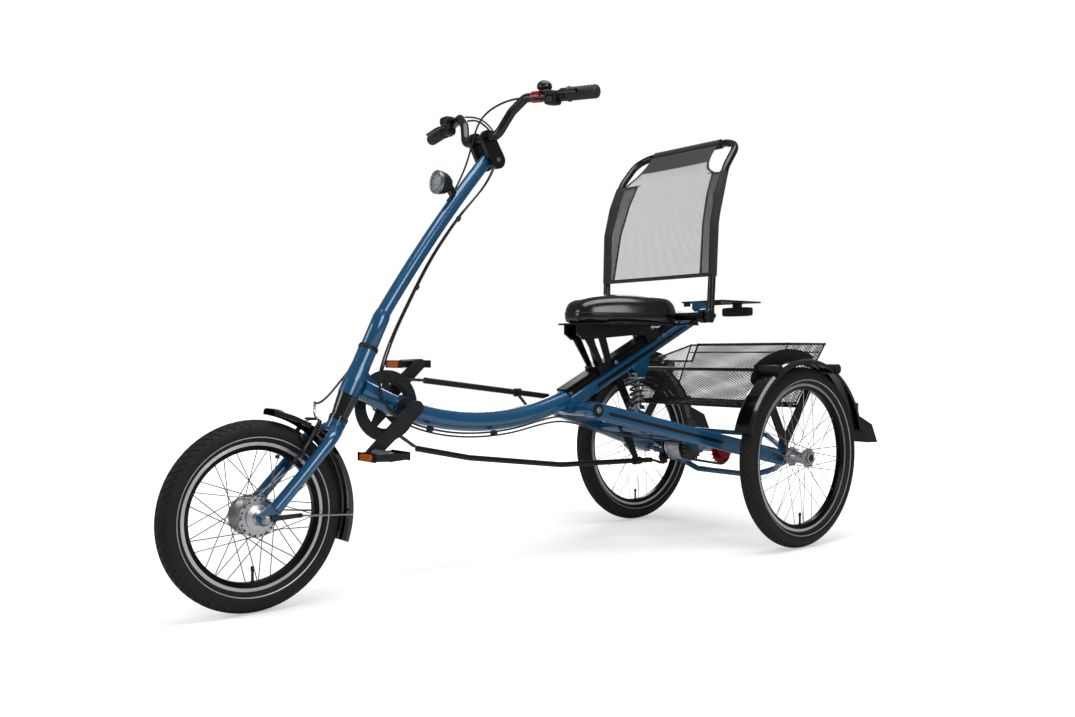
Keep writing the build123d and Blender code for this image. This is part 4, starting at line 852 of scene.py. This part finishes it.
def basket_corner(x_sign, y_pick, t):
    """A corner of the tray at a share t of its height; y_pick is 1 for the front wall, 2 for the back
    one."""
    x, y, z = [BASKET_LOW[k] + (BASKET_TOP[k] - BASKET_LOW[k]) * t for k in (0, y_pick, 3)]
    return np.array((x_sign * x, y, z))


def net_panel(p00, p10, p11, p01, cell=STRAND_PITCH, wire=STRAND_HALF):
    """Expanded metal: two families of straight strands across a four-cornered panel, each strand a square
    bar from edge to edge; strand k keeps u + v or u - v constant, u and v in cells along the panel's
    sides."""
    wide = (np.linalg.norm(p10 - p00) + np.linalg.norm(p11 - p01)) / 2
    high = (np.linalg.norm(p01 - p00) + np.linalg.norm(p11 - p10)) / 2
    m, n = max(2, round(wide / cell)), max(2, round(high / (cell * 0.62)))

    def spot(u, v):
        u, v = u[:, None], v[:, None]
        return (p00 * (1 - u) + p10 * u) * (1 - v) + (p01 * (1 - u) + p11 * u) * v

    starts, ends = [], []
    for family in (1, -1):
        k = np.arange(1, m + n)
        u0, v0 = np.where(k <= n, 0.0, (k - n) / m), np.where(k <= n, k / n, 1.0)
        u1, v1 = np.where(k <= m, k / m, 1.0), np.where(k <= m, 0.0, (k - m) / n)
        if family < 0:
            u0, u1 = 1 - u0, 1 - u1
        starts.append(spot(u0, v0))
        ends.append(spot(u1, v1))
    start, end = np.concatenate(starts), np.concatenate(ends)
    along = (end - start) / np.linalg.norm(end - start, axis=1)[:, None]
    normal = np.cross(p10 - p00, p01 - p00)
    normal /= np.linalg.norm(normal)
    side = np.cross(along, normal)
    across, deep = side * wire, normal * wire * 0.6
    corners = [across + deep, across - deep, -across - deep, -across + deep]
    rings = np.stack([start + c for c in corners] + [end + c for c in corners], 1)
    quads = np.array([(0, 1, 5, 4), (1, 2, 6, 5), (2, 3, 7, 6), (3, 0, 4, 7), (3, 2, 1, 0), (4, 5, 6, 7)])
    return rings.reshape(-1, 3), (quads[None] + 8 * np.arange(len(start))[:, None, None]).reshape(-1, 4)


def notch_point(t):
    """The front wall's step, at a share t of the height."""
    return np.array((NOTCH_X, *basket_corner(1, 1, t)[1:]))


def wire(points, radius):
    """Round wire along a line of points."""
    path = []
    for a, b in zip(points[:-1], points[1:]):
        path += [a + (b - a) * s for s in np.linspace(0, 1, 12, endpoint=False)]
    return tube(np.array(path + [points[-1]]), radius, 10)


def make_basket():
    """Coated expanded-metal tray: net panels between a rim wire, a second wire below it and the floor's
    edge wire."""
    c, n, low = basket_corner, notch_point, NOTCH_RISE
    panels = [net_panel(c(1, 1, 0), c(-1, 1, 0), c(-1, 2, 0), c(1, 2, 0)),
              net_panel(c(1, 2, 0), c(-1, 2, 0), c(-1, 2, 1), c(1, 2, 1)),
              net_panel(c(1, 1, 0), c(1, 2, 0), c(1, 2, 1), c(1, 1, 1)),
              net_panel(c(-1, 2, 0), c(-1, 1, 0), c(-1, 1, low), c(-1, 2, 1)),
              net_panel(n(0), c(1, 1, 0), c(1, 1, 1), n(1)),
              net_panel(c(-1, 1, 0), n(0), n(low), c(-1, 1, low))]
    make("basket_net", BLACK_COAT, panels, "frame", ["basket"], angle=20)
    rim = [n(low), n(1), c(1, 1, 1), c(1, 2, 1), c(-1, 2, 1), c(-1, 1, low), n(low)]
    base = [c(1, 1, 0), c(1, 2, 0), c(-1, 2, 0), c(-1, 1, 0), c(1, 1, 0)]
    posts = [(c(a, b, 0), c(a, b, high)) for a, b, high in ((1, 1, 1), (1, 2, 1), (-1, 2, 1), (-1, 1, low))]
    second = [n(SECOND_WIRE)] + [c(a, b, SECOND_WIRE) for a, b in ((1, 1), (1, 2), (-1, 2))]
    runs = ((list(zip(rim[:-1], rim[1:])), 3.2), (list(zip(base[:-1], base[1:])) + posts, 2.6),
            (list(zip(second[:-1], second[1:])), 2.0))
    rails = [wire(ends, radius) for pairs, radius in runs for ends in pairs]
    rails += [pebble(tuple(p), (4.0, 4.0, 4.0), 2.0, rows=8, columns=12) for p in rim[:-1] + base[:-1]]
    make("basket_wires", BLACK_COAT, rails, "frame")


# Handlebar, lamps and brake
def smooth_path(points, count=60):
    """Points along the quadratic B-spline of a few given ones, for a rigid lever or rod."""
    p = np.asarray(points, float)
    p = np.concatenate([p[:1], p, p[-1:]])
    spans = len(p) - 2
    u = np.linspace(0, spans - 1e-6, count)
    i = u.astype(int)
    f = (u - i)[:, None]
    return 0.5 * ((1 - f) ** 2 * p[i] + (1 + 2 * f - 2 * f * f) * p[i + 1] + f * f * p[i + 2])


GRIP_A, GRIP_B = np.array((245.0, 663.0, 1149.0)), np.array((337.0, 676.0, 1140.0))
BLADE = [(202, 646, 1146), (212, 634, 1150), (240, 632, 1150), (280, 638, 1146), (302, 643, 1144)]
NOZZLE = [(198, 640, 1144), (186, 630, 1146), (176, 622, 1146)]
BAR_WAY = np.array((71.0, 22.0, -4.0)) / 74.4  # the bar's direction at the parking button


def make_hand(side, label):
    """Grip with nine shallow waves, a flange at its inner end and a closed cap, then the lever's clamp
    and blade."""
    flip = (lambda surface: surface) if side > 0 else mirrored
    way = (GRIP_B - GRIP_A) / np.linalg.norm(GRIP_B - GRIP_A)
    a = np.linspace(0, 1, 70)
    waves = 0.9 * np.cos(a * 2 * np.pi * 9) * (a > 0.1) * (a < 0.92)
    r = 15.2 + waves + 3.0 * np.exp(-((a - 0.03) / 0.03) ** 2)
    r = r * np.clip((1.03 - a) * 12, 0.6, 1)
    grip = tube(GRIP_A + way * 8 + a[:, None] * way * 88, r, 28)
    collar = tube(GRIP_A + way * np.linspace(-13, 5, 8)[:, None], 15.5, 24)
    body = pebble((212, 650, 1145), (17, 15, 17), 5.0, [way, (0, 1, 0), (0, 0, 1)])
    reach = smooth_path(BLADE)
    width = np.interp(np.linspace(0, 1, 60), [0, 0.3, 0.75, 1], [7.5, 5.2, 5.8, 7.0])
    blade = tube(reach, width, 14, flat=0.62)
    nozzle = tube(smooth_path(NOZZLE, 16), np.linspace(5.5, 3.6, 16), 12)
    make("grip_" + label, GRIP, [flip(grip)], "steering", ["grips"] if side > 0 else ())
    make("lever_" + label, BLACK_MOULDED, [flip(s) for s in (body, collar, nozzle)], "steering",
         ["brake_levers"] if side > 0 else ())
    make("lever_blade_" + label, BLACK_COAT, [flip(blade)], "steering")


def make_controls():
    """Both hands' grips and levers, red parking button and dome bell on the left, gear shifter on the
    right."""
    make_hand(1, "left")
    make_hand(-1, "right")
    red = tube(np.array((167, 641, 1155)) + BAR_WAY * np.linspace(-12, 12, 6)[:, None], 14.0, 24)
    make("parking_button", RED_LENS, [red], "steering")
    shift = [pebble((-196, 634, 1160), (20, 17, 12), 4.0),
             tube(np.array([(-176, 630, 1162), (-160, 618, 1158)]), 5.0, 12)]
    make("gear_shifter", BLACK_MOULDED, shift, "steering")
    dome = turned([(0, 0), (0, 13), (2, 17), (7, 18.5), (14, 17), (19, 12), (22, 5), (22.6, 0)],
                  (184, 648, 1169), (0, 0.1, 1), 28)
    make("bell_dome", BLACK_COAT, [dome], "steering")
    make("bell_lever", BLACK_MOULDED, [pebble((194, 634, 1171), (9, 4, 3), 3.0)], "steering")


HEAD_TOP, HEAD_WAY = np.array((276.1, 551.6)), np.array((0.4350, 0.9004))
HEADSET_H, SLEEVE_H = 9.4, 88.0
COLUMN_MIDDLE, COLUMN_END, COLUMN_R = (442.0, 813.0), (616.0, 1028.0), 16.5
SLEEVE = [(0, 13.9), (0, 18.7), (1, 19.5), (73, 19.5), (77, 19.0), (SLEEVE_H, 16.6), (SLEEVE_H, 13.9)]


def circle_through(points):
    """Centre of the circle through three points: where the lines halfway between them cross."""
    (ax, ay), (bx, by), (cx, cy) = points
    d = 2 * (ax * (by - cy) + bx * (cy - ay) + cx * (ay - by))
    a, b, c = (points ** 2).sum(1)
    return ((a * (by - cy) + b * (cy - ay) + c * (ay - by)) / d,
            (a * (cx - bx) + b * (ax - cx) + c * (bx - ax)) / d)


def make_column():
    """Bent riser: a circle of 16.5 mm carried along the arc through three points, over the sleeve of 19.5
    mm that is turned about the head tube's line."""
    ends = np.array([HEAD_TOP + HEAD_WAY * (HEADSET_H + SLEEVE_H - 6.0), COLUMN_MIDDLE, COLUMN_END])
    y, z = circle_through(ends)
    radius = math.hypot(ends[0, 0] - y, ends[0, 1] - z)
    angle = np.unwrap(np.arctan2(ends[:, 1] - z, ends[:, 0] - y))
    t = np.linspace(angle[0], angle[2], 48)
    line = np.stack([0 * t, y + radius * np.cos(t), z + radius * np.sin(t)], -1)
    sleeve = turned(SLEEVE, (0, *(HEAD_TOP + HEAD_WAY * HEADSET_H)), (0, *HEAD_WAY), 40, loop=True)
    make("column_riser", BLUE, [tube(line, COLUMN_R, 40), sleeve], "steering",
         ["steering_column"], angle=50)


# Radius and distance out of the ring of dark discs of painted shade that stand for the hub's spoke holes.
HOLE_SHADE_R, HOLE_SHADE_X = 37.5, 28.6


def make_hub_detail():
    """Eighteen dark discs round each flange of the front hub, painted shade that stands for the dark spoke
    holes, and the black reaction arm behind the axle."""
    t = np.radians(np.arange(0, 360, 20.0))
    # Each disc is painted shade: a thin black disc in place of the shadow inside a spoke hole.
    hole_shade_disc = turned([(-0.2, 0), (-0.2, 2.6), (0.5, 2.2), (0.5, 0)], (0, 0, 0), sides=8)
    y, z = FRONT_AXLE
    spots = np.stack([0 * t + HOLE_SHADE_X, y + HOLE_SHADE_R * np.cos(t), z + HOLE_SHADE_R * np.sin(t)], -1)
    left = spread(hole_shade_disc, spots)
    make("hub_hole_shade_discs", BLACK_MOULDED, [left, mirrored(left)], "front_wheel")
    outline = [(62, 14, 197), (62, 14, 208), (62, 80, 208), (62, 85, 203.5), (62, 80, 199)]
    arm = [slab(outline, (1, 0, 0), 5, bulge=0.08)] + bolt((64.5, 78, 203.5), (1, 0, 0), 8, 5)
    make("reaction_arm", BLACK_COAT, arm, "steering")


LAMP_SHELL = [(0, 24.0), (-2, 27.6), (0, 28.4), (10, 28.2), (24, 25), (35, 18), (41, 9), (42, 0), (39, 0),
              (33, 15), (22, 22), (8, 24.6)]
LAMP_BOWL = [(2.5, 24.2), (8, 22), (16, 15), (22, 5), (23, 0)]
LAMP_RING = [(-2.6, 21.0), (-3.2, 25.5), (0, 28.6), (3, 28.6), (3, 27.9), (0, 24.4), (-1, 21)]
LAMP_LENS = [(-1.8, 0), (-1.5, 12), (-0.6, 21), (0.4, 24.2), (1.6, 24.2), (0.8, 12), (0.4, 0)]
LAMP_BULB = [(4, 0), (4, 4.0), (6, 6.5), (14, 6.5), (20, 6), (20, 0)]


def make_headlight():
    """Round lamp: black shell turned about its axis, faceted bright bowl inside and a clear lens in
    front."""
    line = {"centre": (0, 465, 955), "axis": (0, 1, -0.05)}
    bowl = [turned(LAMP_BOWL, **line, sides=12), turned(LAMP_BULB, **line, sides=20)]
    make("headlight_shell", BLACK_MOULDED, [turned(LAMP_SHELL, **line, sides=48)], "steering",
         ["headlight"])
    make("headlight_bowl", ALLOY, bowl, "steering", angle=12)
    make("headlight_ring", ZINC, [turned(LAMP_RING, **line, sides=48, loop=True)], "steering")
    make("headlight_lens", CLEAR_LENS, [turned(LAMP_LENS, **line, sides=48)], "steering")


def make_tail_light():
    """Rounded black housing, red lens across its back and a bright clip on the rack's tab."""
    case = pebble((0, 1598, 674), (54, 13, 14), 7.0, rows=20, columns=48)
    lens = pebble((0, 1608, 674), (47, 5.5, 9.5), 6.0, rows=14, columns=40)
    clip = slab([(-14, 1594, 687), (14, 1594, 687), (14, 1606, 687), (-14, 1606, 687)], (0, 0, 1), 3)
    make("tail_light_case", BLACK_MOULDED, [case], "frame", ["tail_light"])
    make("tail_light_lens", RED_LENS, [lens], "frame")
    make("tail_light_clip", ALLOY, [clip], "frame")


BRAKE_ARM = [(44, 88, 322), (46, 96, 342), (42, 118, 368), (33, 140, 398)]
BRAKE_GUIDE = [(33, 140, 398), (14, 141, 402), (-6, 146, 410), (-16, 152, 424), (-12, 150, 436)]
PAD_WAYS = [(1, 0, 0), (0, 0.77, 0.64), (0, -0.64, 0.77)]


def make_front_brake():
    """Two upright arms with pad holders, the bent guide tube and its boot between their tops."""
    arms, pads = [], []
    for side in (-1, 1):
        path = smooth_path([(side * x, y, z) for x, y, z in BRAKE_ARM])
        arms.append(tube(path, np.interp(np.linspace(0, 1, 60), [0, 0.2, 1], [8.0, 6.5, 4.5]), 14))
        arms += bolt((side * 44, 80, 318), (0, -1, 0.1), 9, 7)
        pads.append(pebble((side * 22, 112, 352), (7, 6, 24), 5.0, PAD_WAYS))
        pads.append(tube(np.array([(side * 22, 112, 352), (side * 44, 108, 356)], float), 3.2, 10))
    guide = tube(smooth_path(BRAKE_GUIDE), 2.6, 10)
    boot = tube(np.array([(-34, 140, 398), (-14, 140, 400), (12, 140, 401)], float), [4.5, 3.4, 3.0], 12)
    make("brake_arms", BLACK_COAT, arms, "steering", ["front_brake"])
    make("brake_pads", BLACK_MOULDED, pads, "steering")
    make("brake_guide_tube", ZINC, [guide], "steering")
    make("brake_boot", BLACK_MOULDED, [boot], "steering")


BOLTS = {  # body: rows of (half distance apart, y, z, across, height)
    "frame": [(15.5, 882.9, 437.9, 8, 4.5), (15.5, 1298, 635.9, 8, 4.5), (98.2, 908, 395.5, 13, 5),
              (69.2, *GEAR_HUB, 15, 10), (286.5, 1453, 291, 9, 4)],
    "steering": [(65.2, *FRONT_AXLE, 15, 9), (31.8, 628, 1024, 9, 5), (31.8, 599, 1074, 9, 5)],
    "seat": [(26.5, 1041, 520, 10, 5), (26.5, 1229, 597, 10, 5)],
}
HUB_CAP = [(0, 0), (0, 15.5), (5, 15.5), (8.5, 13), (9.5, 0)]


def make_bolts():
    """Heads on both sides where screws hold the real one: rail, hinges, hub, dropouts, stem, seat. Caps
    on the axle."""
    for body, rows in BOLTS.items():
        heads = [part for x, y, z, across, high in rows for side in (-1, 1)
                 for part in bolt((side * x, y, z), (side, 0, 0), across, high)]
        make(body + "_bolts", ZINC, heads, body)
    for label, side in (("left", 1), ("right", -1)):
        cap = turned(HUB_CAP, (side * 350.0, *REAR_AXLE), (side, 0, 0), 28)
        make("hub_cap_" + label, BLACK_MOULDED, [cap], "rear_wheel_" + label)


def spline_points(name, route):
    """Points in metres along the quadratic NURBS spline of the given route."""
    line = bpy.data.curves.new(name, "CURVE")
    line.dimensions = "3D"
    spline = line.splines.new("NURBS")
    points = at(route)
    spline.points.add(len(points) - 1)
    for point, place in zip(spline.points, points):
        point.co = (*place, 1.0)
    spline.order_u = 3
    spline.use_endpoint_u = True
    spline.resolution_u = 10
    guide = bpy.data.objects.new(name, line)
    scene.collection.objects.link(guide)
    bpy.context.view_layer.update()
    path = np.array([v.co for v in bpy.data.meshes.new_from_object(guide).vertices], float)
    bpy.data.objects.remove(guide)
    return path[np.concatenate([[True], np.linalg.norm(np.diff(path, axis=0), axis=1) > 1e-5])]


def cable(name, route, diameter, to_frame=False):
    """A cable held at both ends, a round tube along its spline; one that runs on to the frame is carried by
    no body, the others by the steering."""
    path = spline_points(name + "_line", route)
    shown = path * MM + (0.0, Y_MID, 0.0)
    piece = make(name, HOUSING, [tube(shown, diameter / 2, 10)], None if to_frame else "steering")
    if to_frame:
        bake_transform(piece)


REAR_BRAKE_ROUTE = [
    (-190, 640, 1143), (-178, 656, 1154), (-152, 676, 1162), (-128, 684, 1157), (-104, 691, 1140),
    (-78, 694, 1114), (-50, 684, 1068), (-32, 662, 1016), (-18, 622, 964), (-8, 576, 920), (0, 530, 879),
    (0, 486, 824), (0, 446, 769), (0, 411, 712), (5, 376, 655), (12, 336, 590), (24, 302, 530),
    (31, 286, 486), (31, 292, 448), (31, 314, 414), (30, 360, 387), (29, 425, 366), (29, 500, 352),
    (29, 585, 348), (29, 680, 354), (31, 764, 372), (52, 812, 383), (80, 840, 372), (98, 885, 352),
    (110, 950, 335), (120, 1030, 320), (126, 1110, 308), (128, 1190, 298)]
GEAR_ROUTE = [
    (-176, 630, 1162), (-166, 650, 1168), (-146, 672, 1169), (-124, 684, 1163), (-99, 692, 1146),
    (-72, 695, 1119), (-44, 685, 1072), (-26, 663, 1020), (-12, 624, 970), (-3, 580, 927), (6, 533, 882),
    (6, 489, 827), (6, 449, 772), (6, 414, 715), (11, 379, 658), (18, 339, 593), (28, 306, 528),
    (25, 292, 482), (24, 298, 444), (24, 322, 406), (23, 366, 378), (22, 428, 357), (21, 502, 343),
    (21, 586, 338), (21, 680, 343), (22, 766, 360), (28, 830, 368), (34, 890, 358), (38, 960, 340),
    (42, 1040, 322), (46, 1110, 308), (52, 1180, 300), (58, 1250, 292), (66, 1320, 284)]
FRONT_BRAKE_ROUTE = [
    (180, 630, 1148), (152, 604, 1150), (112, 582, 1144), (66, 566, 1126), (34, 562, 1100), (12, 563, 1060),
    (-6, 555, 1000), (-20, 524, 930), (-26, 478, 852), (-26, 430, 776), (-27, 386, 702), (-30, 344, 628),
    (-34, 304, 566), (-35, 264, 522), (-33, 226, 482), (-28, 190, 446), (-20, 160, 430), (-12, 150, 436)]
CLIPS = {  # name: body, radius, flatness, clips as (middle, direction)
    "column_clips": ("steering", 7.5, 0.7,
                     [((-2, 530, 872), (0, 0.5, 0.85)), ((-2, 410, 700), (0, 0.55, 0.83))]),
    "boom_clips": ("frame", 9.0, 0.8, [((24, 430, 366), (0, 1, -0.2)), ((23, 620, 346), (0, 1, 0.05))]),
}


def make_cables():
    """Rear brake and gear cables from the right hand to the swing arm, front brake cable from the left
    one."""
    cable("rear_brake_cable", REAR_BRAKE_ROUTE, 5.0, to_frame=True)
    cable("gear_cable", GEAR_ROUTE, 4.6, to_frame=True)
    cable("front_brake_cable", FRONT_BRAKE_ROUTE, 4.8)


def make_cable_clips():
    """Sprung clips that hold the cables on the column and the boom."""
    for name, (body, radius, flat, places) in CLIPS.items():
        parts = [tube(np.array(middle) + np.outer(np.linspace(-5, 5, 5), way), radius, 14, flat=flat)
                 for middle, way in places]
        make(name, BLACK_MOULDED, parts, body)


set_camera()
set_studio()
dress_nodes()
make_cables()
make_cable_clips()
make_wheels()
make_chains()
make_idler()
make_pedals()
make_saddle()
make_backrest()
make_knobs()
make_basket()
make_controls()
make_column()
make_hub_detail()
make_headlight()
make_tail_light()
make_front_brake()
make_bolts()
